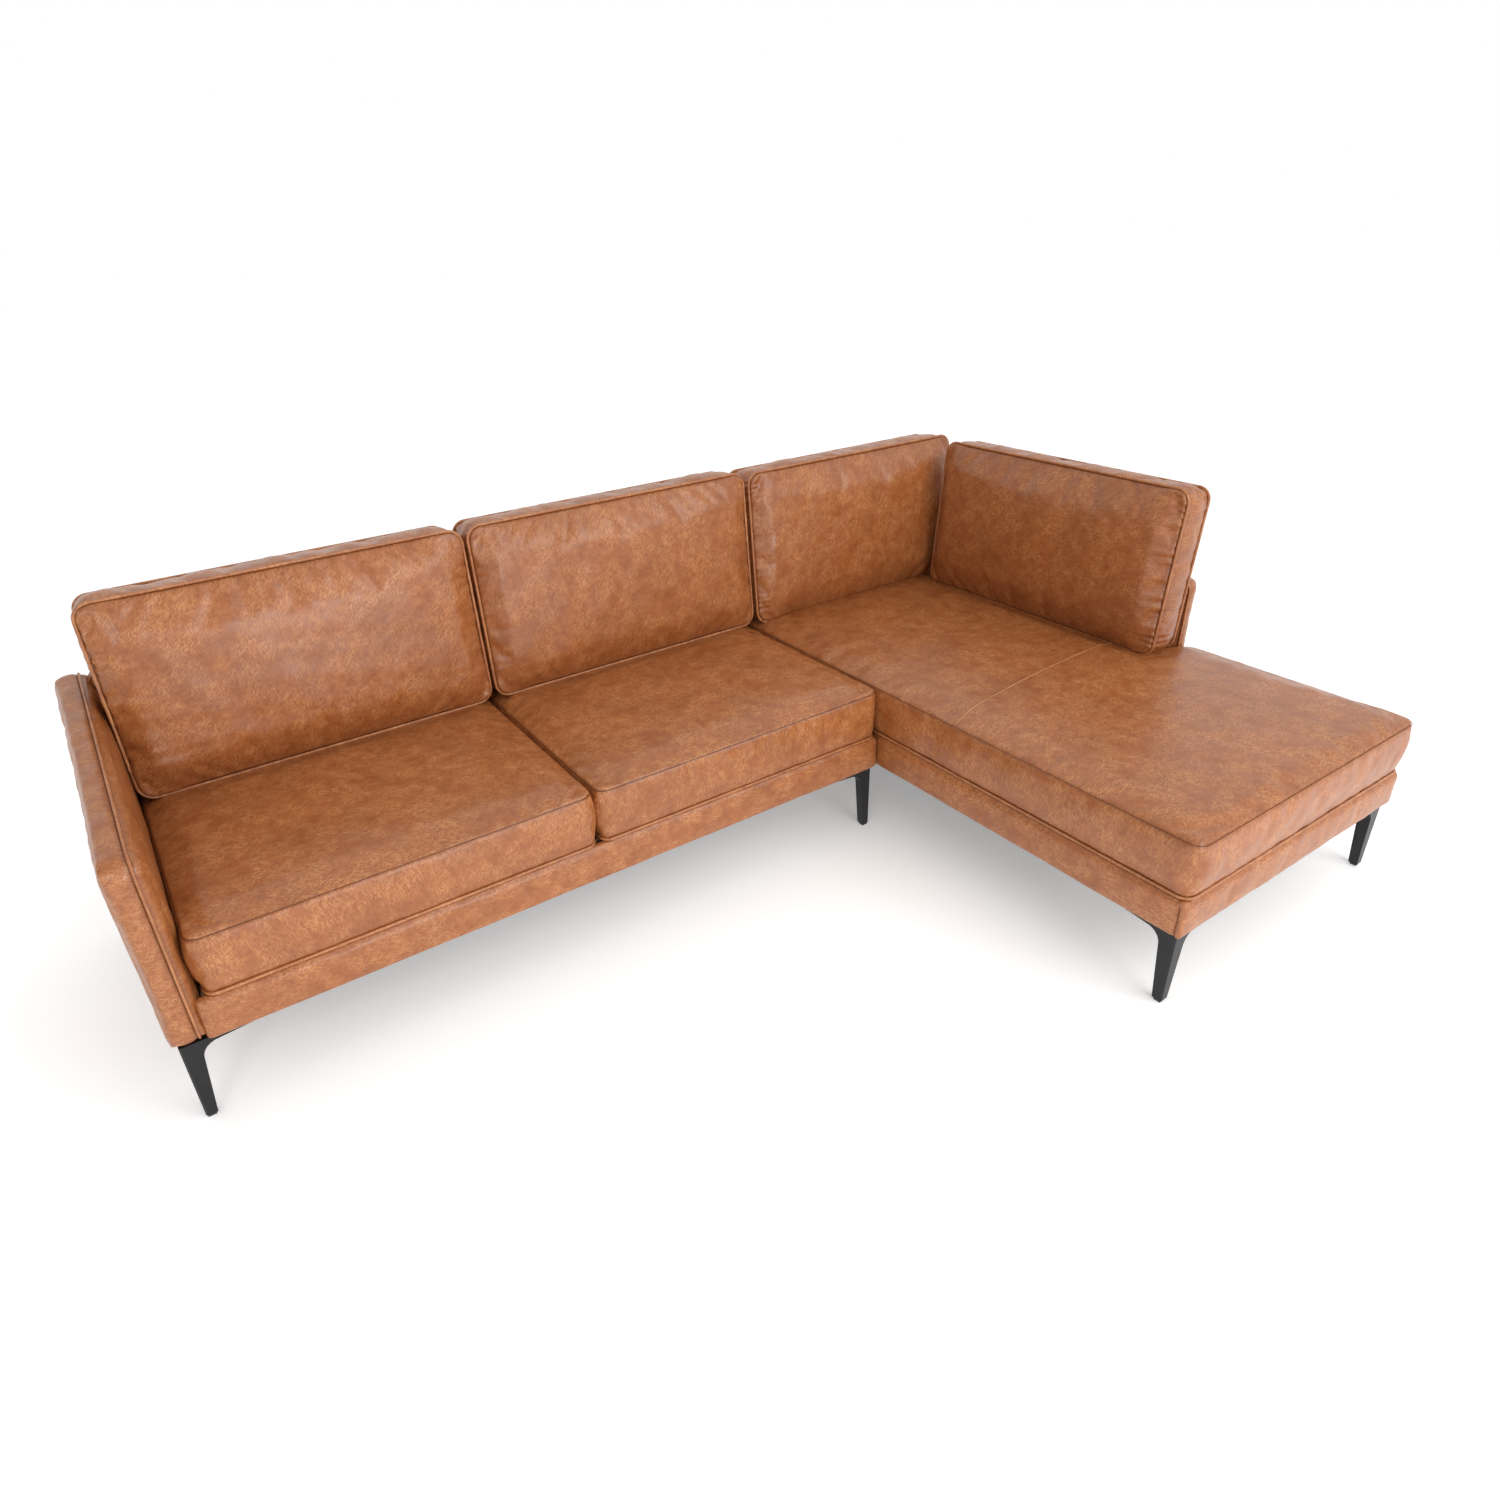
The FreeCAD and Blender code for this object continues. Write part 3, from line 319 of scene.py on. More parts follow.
@dataclass(frozen=True)
class TimberFinish:
    """Planed softwood with growth rings along the boards."""

    name: str
    early: Colour = (0.62, 0.43, 0.24)
    late: Colour = (0.42, 0.25, 0.12)

    def material(self) -> Material:
        """Build the shader."""
        graph = Graph(self.name)
        place = graph.place(Coordinates.OBJECT)
        rings = graph.add("ShaderNodeTexWave", {"bands_direction": "Z"}, Vector=graph.mapped(place, (3.0, 3.0, 26.0)),
                          Scale=0.9, Distortion=7.0, Detail=3.0)
        fibre = graph.noise(graph.mapped(place, (6.0, 6.0, 160.0)), 4.0, 5.0)
        share = graph.math("MULTIPLY", rings.outputs["Fac"], fibre)
        graph.feed(graph.surface.inputs["Base Color"], graph.blend(share, (*self.early, 1), (*self.late, 1)))
        graph.surface.inputs["Roughness"].default_value = 0.62
        graph.relief(fibre, 0.25, 0.0005)
        return graph.material


class Finishes:
    """All the finishes, each made once."""

    def __init__(self) -> None:
        """Make the materials."""
        self.panel_leather = Leather("panel_leather", Coordinates.PANELS).material()
        self.strip_leather = Leather("strip_leather", Coordinates.OBJECT).material()
        # Dark, matt leather of the thin tube in a plain seam's crease: a painted shadow of the groove.
        self.seam_shade_leather = Leather("seam_shade_leather", Coordinates.OBJECT, deep=(0.075, 0.022, 0.008),
                                    body=(0.190, 0.058, 0.020), pale=(0.25, 0.090, 0.036), roughness=0.8,
                                    specular=0.05).material()
        # Piping leather is lighter than the panels: a painted highlight on the cords' crests.
        self.piping_leather = Leather("piping_leather", Coordinates.OBJECT, body=(0.440, 0.160, 0.058)).material()
        # Lighter leather of the chaise's raised cross seam: a painted highlight on its crest.
        self.seam_highlight = Leather("seam_highlight", Coordinates.OBJECT, body=(0.47, 0.19, 0.08)).material()
        self.black_metal = PlainFinish("black_metal", (0.014, 0.014, 0.016), 0.38, 0.35, 0.25, 60.0, 0.0003).material()
        self.plain_steel = PlainFinish("plain_steel", (0.52, 0.52, 0.54), 0.34, 1.0, 0.15, 120.0, 0.0002).material()
        self.glide_plastic = PlainFinish("glide_plastic", (0.03, 0.03, 0.03), 0.5).material()
        self.webbing = WovenFinish("webbing", (0.13, 0.12, 0.11), 0.0022).material()
        self.dust_cloth = WovenFinish("dust_cloth", (0.035, 0.035, 0.037), 0.0009).material()
        self.deck_cloth = WovenFinish("deck_cloth", (0.17, 0.085, 0.045), 0.0012).material()
        self.timber = TimberFinish("timber").material()


def deselect() -> None:
    """Leave nothing selected, in object mode."""
    if bpy.context.object and bpy.context.object.mode != "OBJECT":
        bpy.ops.object.mode_set(mode="OBJECT")
    bpy.ops.object.select_all(action="DESELECT")


def activate(item: Object) -> None:
    """Make one object the only one selected, and the active one."""
    deselect()
    item.select_set(True)
    bpy.context.view_layer.objects.active = item


def positions(item: Object) -> np.ndarray:
    """Read the places of an object's vertices."""
    flat = np.empty(len(item.data.vertices) * 3)
    item.data.vertices.foreach_get("co", flat)
    return flat.reshape(-1, 3)


def move_to(item: Object, places: np.ndarray) -> None:
    """Put an object's vertices at new places."""
    item.data.vertices.foreach_set("co", places.reshape(-1))
    item.data.update()


def bake_transform(item: Object) -> None:
    """Move an object's place, turn and scale into its mesh."""
    activate(item)
    bpy.ops.object.transform_apply(location=True, rotation=True, scale=True)


def cell_count(length: float, cell: float) -> int:
    """How many cells of about a size fit a length, within what one subdivision can cut."""
    return max(1, min(100, round(length / cell)))


def box_blank(name: str, counts: Sequence[int]) -> Object:
    """Add a cube of half size 1 and divide each side into cells.

    Args:
        name: The object's name.
        counts: Cells along each axis.

    Returns:
        The divided cube.
    """
    deselect()
    bpy.ops.mesh.primitive_cube_add(size=2)
    item = bpy.context.object
    item.name = name
    item.data.name = name
    bpy.ops.object.mode_set(mode="EDIT")
    bpy.ops.mesh.select_mode(type="EDGE")
    for axis, count in enumerate(counts):
        if count < 2:
            continue
        mesh = bmesh.from_edit_mesh(item.data)
        for edge in mesh.edges:
            run = edge.verts[0].co - edge.verts[1].co
            edge.select_set(abs(run[axis]) > 1e-6)
        bmesh.update_edit_mesh(item.data)
        bpy.ops.mesh.subdivide(number_cuts=count - 1)
    bpy.ops.object.mode_set(mode="OBJECT")
    return item


def eased(values: np.ndarray, middle: float, run: float) -> np.ndarray:
    """Rise smoothly from 0 to 1 over a run with a given middle."""
    step = np.clip((values - middle) / run + 0.5, 0, 1)
    return step * step * (3 - 2 * step)


def tube(name: str, line: Sequence[Sequence[float]], radius: float, finish: Material, closed: bool = True) -> Object:
    """Lay a cord or a seam along a line.

    Args:
        name: The tube's name.
        line: Places along it.
        radius: Its radius.
        finish: Its finish.
        closed: Whether its ends meet.

    Returns:
        The tube.
    """
    curve = bpy.data.curves.new(name, "CURVE")
    curve.dimensions = "3D"
    spline = curve.splines.new("NURBS")
    spline.points.add(len(line) - 1)
    for point, place in zip(spline.points, line):
        point.co = (*place, 1)
    spline.order_u = 3
    spline.use_cyclic_u = closed
    spline.use_endpoint_u = not closed
    curve.bevel_depth = radius
    curve.bevel_resolution = 2 if closed else 1
    curve.resolution_u = 2 if closed else 12
    curve.use_fill_caps = not closed
    holder = bpy.data.objects.new(name + "_line", curve)
    bpy.context.scene.collection.objects.link(holder)
    mesh = bpy.data.meshes.new_from_object(holder.evaluated_get(bpy.context.evaluated_depsgraph_get()))
    bpy.data.objects.remove(holder)
    item = bpy.data.objects.new(name, mesh)
    bpy.context.scene.collection.objects.link(item)
    mesh.name = name
    mesh.materials.clear()
    mesh.materials.append(finish)
    activate(item)
    bpy.ops.object.shade_smooth()
    return item


@dataclass(frozen=True)
class Gather:
    """Small folds that stand on one side of a pad's face seam."""

    side: Panel
    height: float = 0.0016
    pitch: float = 0.018
    reach: float = 0.022
    depth: float = 0.030


@dataclass(frozen=True)
class Notch:
    """A step in a pad's right-hand side, from a place along it to its end."""

    start: float
    depth: float
    run: float = 0.03


@dataclass(frozen=True)
class Bed:
    """A part of a pad's face that another cushion stands on and presses down to a level."""

    left: float
    front: float
    level: float
    run: float = 0.045
    blend: float = 0.0016


@dataclass(frozen=True)
class PadForm:
    """Sizes of a box-shaped pad in its own frame: X across, Y along, Z out of its face."""

    width: float
    height: float
    depth: float
    cell: float = 0.011
    corner: float = 0.030
    face_crown: float = 0.024
    back_crown: float = 0.0
    fullness: float = 3.0
    shoulder: float = 0.05
    back_shoulder: float = 0.05
    shoulder_share: float = 0.5
    side_swell: float = 0.008
    lean_in: float = 0.0
    right_height: Optional[float] = None
    notch: Optional[Notch] = None
    face_trim: Trim = Trim.PIPED
    back_trim: Trim = Trim.PIPED
    piping_radius: float = 0.0037
    piping_stand: float = 0.0009
    seam_radius: float = 0.0007
    seam_sink: float = 0.0018
    seam_dip: float = 0.0026
    dip_reach: float = 0.0045
    edge_pull: float = 0.45
    ripple: float = 0.0
    pressure: float = 3.0
    slack: float = 0.015
    movement: float = 0.012
    held_back: bool = False
    hide_turn: float = 0.0
    # Edge towards which painted shade deepens, where a neighbouring cushion shades the pad, and how far that shade
    # reaches.
    shaded_edge: Optional[Panel] = None
    shade_reach: float = 0.075
    beds: tuple[Bed, ...] = ()
    wave: float = 0.0012
    gathers: tuple[Gather, ...] = ()
    seed: int = 1


class Pad:
    """A leather pad: six panels joined by seams, blown up a little and fitted with piping."""

    def __init__(self, name: str, form: PadForm, spot: Matrix) -> None:
        """Note what to build and where."""
        self.name = name
        self.form = form
        self.spot = spot
        self.random = np.random.default_rng(form.seed)

    def build(self, leather: Material, finishes: Finishes) -> list[Object]:
        """Build the pad and its piping.

        Args:
            leather: Finish of the panels.
            finishes: All the finishes, among them those of piping and seams.

        Returns:
            The pad first, then its piping.
        """
        form = self.form
        counts = [cell_count(length, form.cell) for length in (form.width, form.height, form.depth)]
        pad = box_blank(self.name, counts)
        cube = positions(pad)
        move_to(pad, self.shaped(cube))
        self.unwrap(pad, cube)
        if form.pressure:
            self.inflate(pad, cube)
        loops = {side: self.seam_path(positions(pad), cube, side) for side in (1, -1)}
        self.refine(pad)
        self.crease(pad, loops)
        self.press(pad)
        pad.data.materials.append(leather)
        # A plain seam gets a thin dark tube sunk in its crease, a painted shadow of the groove.
        trims = {
            Trim.PIPED: ("piping", form.piping_stand, form.piping_radius, finishes.piping_leather),
            Trim.PLAIN: ("seam", -form.seam_sink, form.seam_radius, finishes.seam_shade_leather),
        }
        made = [pad]
        for side, trim, panel in ((1, form.face_trim, "face"), (-1, form.back_trim, "back")):
            if trim in trims:
                word, stand, radius, finish = trims[trim]
                line = self.set_out(loops[side], side, stand)
                made.append(tube(f"{self.name}_{panel}_{word}", line, radius, finish))
        for item in made:
            item.matrix_world = self.spot
            bake_transform(item)
        return made

    def shaped(self, cube: np.ndarray) -> np.ndarray:
        """Turn the places on the cube into places on the pad's starting form.

        Args:
            cube: Places on a cube of half size 1.

        Returns:
            Places on the pad, in its own frame.
        """
        form = self.form
        u, v, w = cube.T
        u = u + form.edge_pull * np.sin(np.pi * u) / np.pi
        v = v + form.edge_pull * np.sin(np.pi * v) / np.pi
        half_x, half_y = form.width / 2, form.height / 2
        x, y = u * half_x, v * half_y
        over_x = np.clip((np.abs(x) - (half_x - form.corner)) / form.corner, 0, 1)
        over_y = np.clip((np.abs(y) - (half_y - form.corner)) / form.corner, 0, 1)
        both = (over_x > 0) & (over_y > 0)
        round_x = np.where(both, over_x * np.sqrt(1 - over_y ** 2 / 2), over_x)
        round_y = np.where(both, over_y * np.sqrt(1 - over_x ** 2 / 2), over_y)
        x = np.where(over_x > 0, np.sign(x) * (half_x - form.corner + round_x * form.corner), x)
        y = np.where(over_y > 0, np.sign(y) * (half_y - form.corner + round_y * form.corner), y)
        turn_x = np.where(both, round_x, (np.abs(u) > RIM).astype(float)) * np.sign(u)
        turn_y = np.where(both, round_y, (np.abs(v) > RIM).astype(float)) * np.sign(v)
        length = np.maximum(np.hypot(turn_x, turn_y), TINY)
        swell = form.side_swell * (1 - w ** 2) - form.lean_in * (1 - w) / 2
        swell = np.where(np.maximum(np.abs(u), np.abs(v)) > RIM, swell, 0)
        x = x + turn_x / length * swell
        y = y + turn_y / length * swell
        z = form.depth * (w + 1) / 2
        z = z + np.where(w > RIM, form.face_crown * self.dome(u, v, form.shoulder), 0)
        z = z - np.where(w < -RIM, form.back_crown * self.dome(u, v, form.back_shoulder), 0)
        if form.right_height is not None:
            rise = form.height + (form.right_height - form.height) * (x / form.width + 0.5)
            y = -half_y + (y + half_y) * rise / form.height
        if form.notch is not None:
            reach = 4 * form.notch.depth
            near = np.clip((x - (half_x - reach)) / reach, 0, 1)
            x = x - eased(y, form.notch.start, form.notch.run) * form.notch.depth * near
        return np.stack([x, y, z], axis=1)

    def dome(self, u: np.ndarray, v: np.ndarray, shoulder: float) -> np.ndarray:
        """How far a panel has risen between its seam, 0, and its middle, 1."""
        form = self.form
        away = np.minimum((1 - np.abs(u)) * form.width / 2, (1 - np.abs(v)) * form.height / 2)
        edge = np.sqrt(1 - (1 - np.clip(away / shoulder, 0, 1)) ** 2)
        full = (1 - np.abs(u) ** form.fullness) * (1 - np.abs(v) ** form.fullness)
        return form.shoulder_share * edge + (1 - form.shoulder_share) * full

    def panel_of(self, pad: Object, cube: np.ndarray) -> np.ndarray:
        """Tell which panel each face of the blank belongs to."""
        count = len(pad.data.polygons)
        corners = np.empty(count * 4, dtype=np.int64)
        pad.data.polygons.foreach_get("vertices", corners)
        middle = cube[corners.reshape(-1, 4)].mean(axis=1)
        axis = np.abs(middle).argmax(axis=1)
        positive = middle[np.arange(count), axis] > 0
        numbers = {2: (Panel.FACE, Panel.BACK), 0: (Panel.RIGHT, Panel.LEFT), 1: (Panel.UPPER, Panel.LOWER)}
        result = np.empty(count, dtype=np.int64)
        for key, (high, low) in numbers.items():
            result = np.where(axis == key, np.where(positive, high.value, low.value), result)
        return result

    def unwrap(self, pad: Object, cube: np.ndarray) -> None:
        """Give each panel its own flat piece of hide, in metres, with the hide's run across the boxing.

        Args:
            pad: The pad's object.
            cube: Places of its vertices on the cube.
        """
        places = positions(pad)
        panel = np.repeat(self.panel_of(pad, cube), 4)
        corners = np.empty(len(pad.data.loops), dtype=np.int64)
        pad.data.loops.foreach_get("vertex_index", corners)
        x, y, z = places[corners].T
        on_face = (panel == Panel.FACE.value) | (panel == Panel.BACK.value)
        on_side = (panel == Panel.LEFT.value) | (panel == Panel.RIGHT.value)
        turn = math.radians(self.form.hide_turn)
        first = np.where(on_face, x * math.cos(turn) + y * math.sin(turn), z)
        second = np.where(on_face, y * math.cos(turn) - x * math.sin(turn), np.where(on_side, y, x))
        shifts = self.random.uniform(0, 40, (6, 2))
        flat = np.stack([first + shifts[panel, 0], second + shifts[panel, 1]], axis=1)
        layer = pad.data.uv_layers[0] if pad.data.uv_layers else pad.data.uv_layers.new()
        layer.name = "Panels"
        layer.data.foreach_set("uv", flat.reshape(-1))

    def inflate(self, pad: Object, cube: np.ndarray) -> None:
        """Blow the panels up between their seams, which hold still.

        Args:
            pad: The pad's object.
            cube: Places of its vertices on the cube.
        """
        form = self.form
        start = positions(pad)
        u, v, w = cube.T
        seam = (np.abs(w) > RIM) & (np.maximum(np.abs(u), np.abs(v)) > RIM)
        if form.held_back:
            seam |= w < -RIM
        group = pad.vertex_groups.new(name="seams")
        group.add([int(index) for index in np.nonzero(seam)[0]], 1.0, "REPLACE")
        cloth = pad.modifiers.new("Cloth", "CLOTH")
        settings = dict(
            quality=4, mass=0.3, tension_stiffness=14, compression_stiffness=14, shear_stiffness=6,
            bending_stiffness=0.4, use_pressure=True, uniform_pressure_force=form.pressure,
            shrink_min=-form.slack, vertex_group_mass="seams",
        )
        for name, value in settings.items():
            setattr(cloth.settings, name, value)
        cloth.settings.effector_weights.gravity = 0
        cloth.collision_settings.use_collision = False
        cloth.collision_settings.use_self_collision = False
        scene = bpy.context.scene
        for step in range(1, LAST_FRAME + 1):
            scene.frame_set(step)
        evaluated = pad.evaluated_get(bpy.context.evaluated_depsgraph_get())
        flat = np.empty(len(start) * 3)
        evaluated.data.vertices.foreach_get("co", flat)
        pad.modifiers.remove(cloth)
        pad.vertex_groups.remove(group)
        scene.frame_set(1)
        shift = flat.reshape(-1, 3) - start
        length = np.linalg.norm(shift, axis=1, keepdims=True)
        shift *= np.minimum(1, form.movement / np.maximum(length, TINY))
        move_to(pad, start + shift)

    def seam_path(self, places: np.ndarray, cube: np.ndarray, side: int) -> np.ndarray:
        """Follow the seam round the face, side 1, or the back, side -1."""
        u, v, w = cube.T
        on_seam = (w * side > RIM) & (np.maximum(np.abs(u), np.abs(v)) > RIM)
        run = np.where(v < -RIM, (u + 1) / 2,
                       np.where(u > RIM, 1 + (v + 1) / 2,
                                np.where(v > RIM, 2 + (1 - u) / 2, 3 + (1 - v) / 2)))
        index = np.nonzero(on_seam)[0]
        return places[index[np.argsort(run[index])]]

    def set_out(self, loop: np.ndarray, side: int, stand: float) -> np.ndarray:
        """Move a seam's line out of the pad's edge, or into it."""
        run = np.roll(loop, -1, axis=0) - np.roll(loop, 1, axis=0)
        outward = np.stack([run[:, 1], -run[:, 0], np.zeros(len(loop))], axis=1)
        outward /= np.maximum(np.linalg.norm(outward, axis=1, keepdims=True), TINY)
        outward[:, 2] = 0 if side < 0 and self.form.held_back else side
        return loop + outward * stand / math.sqrt(2)

    def refine(self, pad: Object) -> None:
        """Divide the pad's faces once, smoothly."""
        activate(pad)
        smooth = pad.modifiers.new("Smooth", "SUBSURF")
        smooth.levels = 1
        smooth.render_levels = 1
        bpy.ops.object.modifier_apply(modifier=smooth.name)
        bpy.ops.object.shade_smooth()

    def crease(self, pad: Object, loops: dict[int, np.ndarray]) -> None:
        """Pull the seams in, raise gathers beside them and rumple the panels.

        Args:
            pad: The pad's object.
            loops: The seam paths of the face and of the back.
        """
        form = self.form
        places = positions(pad)
        distance = self.seam_distance(places, loops)
        normals = np.empty(len(places) * 3)
        pad.data.vertices.foreach_get("normal", normals)
        height = -form.seam_dip * np.exp(-(distance / form.dip_reach) ** 2)
        for gather in form.gathers:
            height = height + self.gathered(gather, places, distance)
        height = height + self.rumple(places) * np.clip(distance / 0.012, 0, 1)
        x, y, z = places.T
        upper = np.clip((y - (y.max() - 0.03)) / 0.02, 0, 1)
        between = np.sin(np.pi * np.clip(z / form.depth, 0, 1))
        swing = np.sin(x / 0.165 * 2 * np.pi + form.seed) + 0.5 * np.sin(x / 0.071 + form.seed)
        height = height + form.ripple * upper * between * swing
        self.shade(pad, places, distance)
        move_to(pad, places + normals.reshape(-1, 3) * height[:, None])

    def seam_distance(self, places: np.ndarray, loops: dict[int, np.ndarray]) -> np.ndarray:
        """How far each vertex is from the nearest sewn seam.

        Args:
            places: Places of the vertices.
            loops: The seam paths of the face and of the back.

        Returns:
            A distance for each vertex.
        """
        trims = {1: self.form.face_trim, -1: self.form.back_trim}
        sewn = [loop for side, loop in loops.items() if trims[side] is not Trim.NONE]
        if not sewn:
            return np.ones(len(places))
        shares = (0, 0.25, 0.5, 0.75)
        tree = KDTree(sum(len(loop) * len(shares) for loop in sewn))
        number = 0
        for loop in sewn:
            following = np.roll(loop, -1, axis=0)
            for share in shares:
                for place in loop * (1 - share) + following * share:
                    tree.insert(place, number)
                    number += 1
        tree.balance()
        return np.array([tree.find(place)[2] for place in places])

    def gathered(self, gather: Gather, places: np.ndarray, distance: np.ndarray) -> np.ndarray:
        """Height of the small folds along one side.

        Args:
            gather: The folds.
            places: Places of the vertices.
            distance: Their distances from the nearest seam.

        Returns:
            A height for each vertex.
        """
        seed = self.form.seed
        low, high = places.min(axis=0), places.max(axis=0)
        axis = 0 if gather.side in (Panel.LEFT, Panel.RIGHT) else 1
        edge = low[axis] if gather.side in (Panel.LEFT, Panel.LOWER) else high[axis]
        along = places[:, 1 - axis]
        away = np.abs(places[:, axis] - edge)
        phase = along / gather.pitch * 2 * np.pi + 1.9 * np.sin(along * 37.0 + seed) \
            + 1.1 * np.sin(along * 91.0 + 2 * seed)
        fold = np.sin(phase) * (0.6 + 0.4 * np.sin(along * 53.0 + seed))
        fade = np.exp(-np.maximum(away - 0.004, 0) / gather.reach) * np.clip(distance / 0.006, 0, 1)
        middle = np.clip((high[1 - axis] - along) / 0.05, 0, 1) * np.clip((along - low[1 - axis]) / 0.05, 0, 1)
        below = np.exp(-np.maximum(self.form.depth - places[:, 2], 0) / gather.depth)
        return gather.height * fold * fade * middle * below

    def shade(self, pad: Object, places: np.ndarray, distance: np.ndarray) -> None:
        """Store painted shade: a painted shadow in each seam's crease, and broader painted shade by the seams and
        towards one edge, which also stands for the darker tone of less-handled leather.

        Args:
            pad: The pad's object.
            places: Places of its vertices.
            distance: Their distances from the nearest seam.
        """
        form = self.form
        plain = (form.face_trim is Trim.PLAIN) & (places[:, 2] > form.depth / 2)
        # Painted shadow in the crease along each seam, narrower and fainter at a plain seam on the face.
        seam = np.where(plain, 0.6, 1.0) * np.exp(-(distance / np.where(plain, 0.0026, 0.0042)) ** 2)
        # Painted shade near the seams.
        tuck = np.where(plain, 0.2, 0.62) * np.exp(-distance / 0.018)
        # Painted shade towards one edge, where a neighbouring cushion shades the pad; it also stands for the darker
        # tone of less-handled leather.
        if form.shaded_edge is not None:
            along = places[:, 1]
            edge = along.min() if form.shaded_edge is Panel.LOWER else along.max()
            tuck = tuck + 0.75 * np.exp(-np.abs(along - edge) / form.shade_reach)
        for name, values in (("seam", seam), ("tuck", np.clip(tuck, 0, 1))):
            layer = pad.data.attributes.new(name, "FLOAT", "POINT")
            layer.data.foreach_set("value", values.astype(np.float32))

    def press(self, pad: Object) -> None:
        """Flatten the face where other cushions stand on it."""
        places = positions(pad)
        for bed in self.form.beds:
            share = eased(places[:, 0], bed.left, bed.run) * eased(places[:, 1], bed.front, bed.run)
            excess = places[:, 2] - bed.level
            places[:, 2] -= share * (excess + np.sqrt(excess ** 2 + bed.blend ** 2)) / 2 * (excess > -0.010)
        move_to(pad, places)

    def rumple(self, places: np.ndarray) -> np.ndarray:
        """Slight unevenness of a stuffed panel, as a sum of slanted waves."""
        total = np.zeros(len(places))
        for octave in range(7):
            direction = self.random.normal(size=3)
            direction /= np.linalg.norm(direction)
            pitch = 0.24 / 1.45 ** octave
            phase = self.random.uniform(0, 2 * np.pi)
            bend = 0.6 * np.sin(places @ self.random.normal(size=3) * 7)
            total += np.sin(places @ direction / pitch * 2 * np.pi + phase + bend) / 1.3 ** octave
        return total * self.form.wave / 2.4


def spot_of(origin: Vector, across: Vector, along: Vector) -> Matrix:
    """A pad's frame from its origin and two of its directions."""
    across, along = across.normalized(), along.normalized()
    out = across.cross(along)
    matrix = Matrix((across, along, out)).transposed().to_4x4()
    matrix.translation = origin
    return matrix


def lying_spot(low: Vector, high: Vector, lift: float = 0.0) -> Matrix:
    """The frame of a pad that lies in the middle of a box, a lift above its bottom."""
    return Matrix.Translation(((low.x + high.x) / 2, (low.y + high.y) / 2, low.z + lift))


def hand_over(pieces: Sequence[Object], body: str, nodes: Sequence[str]) -> None:
    """Tell the frame what a pad and its piping ride on and stand for."""
    for piece in pieces:
        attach(piece, body)
    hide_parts(*nodes)
    log.info("%s: %d pieces on %s", pieces[0].name, len(pieces), body)


@dataclass
class SeatCushions:
    """The two seat cushions and the long one of the chaise."""

    finishes: Finishes
    edge: float = 0.137
    crown: float = 0.022
    tuck: float = 0.002
    lift: float = 0.0042
    clearance: float = 0.0015
    notch_gap: float = 0.004
    notch_play: float = 0.003
    bed_level: float = 0.4410
    bed_start: float = 0.020
    seam_front: float = 0.660
    seam_rear: float = 0.719
    seam_radius: float = 0.0022

    def build(self) -> None:
        """Build all three."""
        for seed, side in enumerate(("left", "middle"), 11):
            low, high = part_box("seat_cushion_" + side)
            self.make(side, low, high, seed, beds=self.beds(side, low, high))
        low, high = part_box("seat_cushion_chaise")
        wall_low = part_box("side_back_inner_pad")[0]
        wall_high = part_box("side_back_outer_pad")[1]
        notch = Notch(wall_low.y - (low.y + high.y) / 2 - self.notch_gap, wall_high.x - wall_low.x + self.notch_play)
        beds = self.beds("right", low, high) + self.beds("side", low, high)
        self.make("chaise", low, high, 13, cell=0.0165, notch=notch, movement=0.009, beds=beds)

    def beds(self, side: str, low: Vector, high: Vector) -> tuple[Bed, ...]:
        """The part of a seat cushion that one of the upright cushions stands on."""
        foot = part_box("side_cushion" if side == "side" else "back_cushion_" + side)[0]
        left = foot.x - self.bed_start if side == "side" else low.x - 1.0
        return (Bed(left - (low.x + high.x) / 2, foot.y - self.bed_start - (low.y + high.y) / 2,
                    self.bed_level - low.z - self.lift),)

    def make(self, side: str, low: Vector, high: Vector, seed: int, **more: object) -> None:
        """Build one seat cushion in the box of its node.

        Args:
            side: Which of the three.
            low: Lowest corner of its node.
            high: Highest corner of its node.
            seed: Where its random patterns start.
            more: Settings that the others don't share.
        """
        settings = dict(
            width=high.x - low.x - 2 * self.tuck, height=high.y - low.y, depth=self.edge - self.lift, corner=0.030,
            face_crown=self.crown, back_crown=self.lift - self.clearance, fullness=2.4, shoulder=0.045,
            back_shoulder=0.020, shoulder_share=0.35, side_swell=0.006, lean_in=0.005, face_trim=Trim.PLAIN,
            # Painted shade deepens towards the rear, under the back cushions.
            held_back=True, pressure=2.4, slack=0.010, movement=0.010, shaded_edge=Panel.UPPER, seed=seed,
        )
        settings.update(more)
        pieces = Pad("seat_" + side, PadForm(**settings), lying_spot(low, high, self.lift)).build(
            self.finishes.panel_leather, self.finishes)
        if side == "chaise":
            pieces.append(self.cross_seam(pieces[0], low, high))
        hand_over(pieces, "seat_" + side, ["seat_cushion_" + side, "seat_core_" + side])

    def cross_seam(self, pad: Object, low: Vector, high: Vector) -> Object:
        """The thin raised seam across the chaise cushion, which bows a little.

        Args:
            pad: The cushion that it lies on.
            low: Lowest corner of the cushion's node.
            high: Highest corner of that node.

        Returns:
            The seam.
        """
        tree = BVHTree.FromObject(pad, bpy.context.evaluated_depsgraph_get())
        places = []
        for step in range(61):
            share = step / 60
            x = low.x + 0.004 + (high.x - low.x - 0.008) * share
            bow = math.sin(share * math.pi / 2) ** 0.8
            y = low.y + self.seam_front + (self.seam_rear - self.seam_front) * bow
            hit = tree.ray_cast(Vector((x, y, high.z + 0.1)), Vector((0, 0, -1)))[0]
            if hit is not None and hit.z > high.z - 0.06:
                places.append(hit)
        # Lighter leather on the raised seam: a painted highlight on its crest.
        return tube("chaise_cross_seam", places, self.seam_radius, self.finishes.seam_highlight, closed=False)


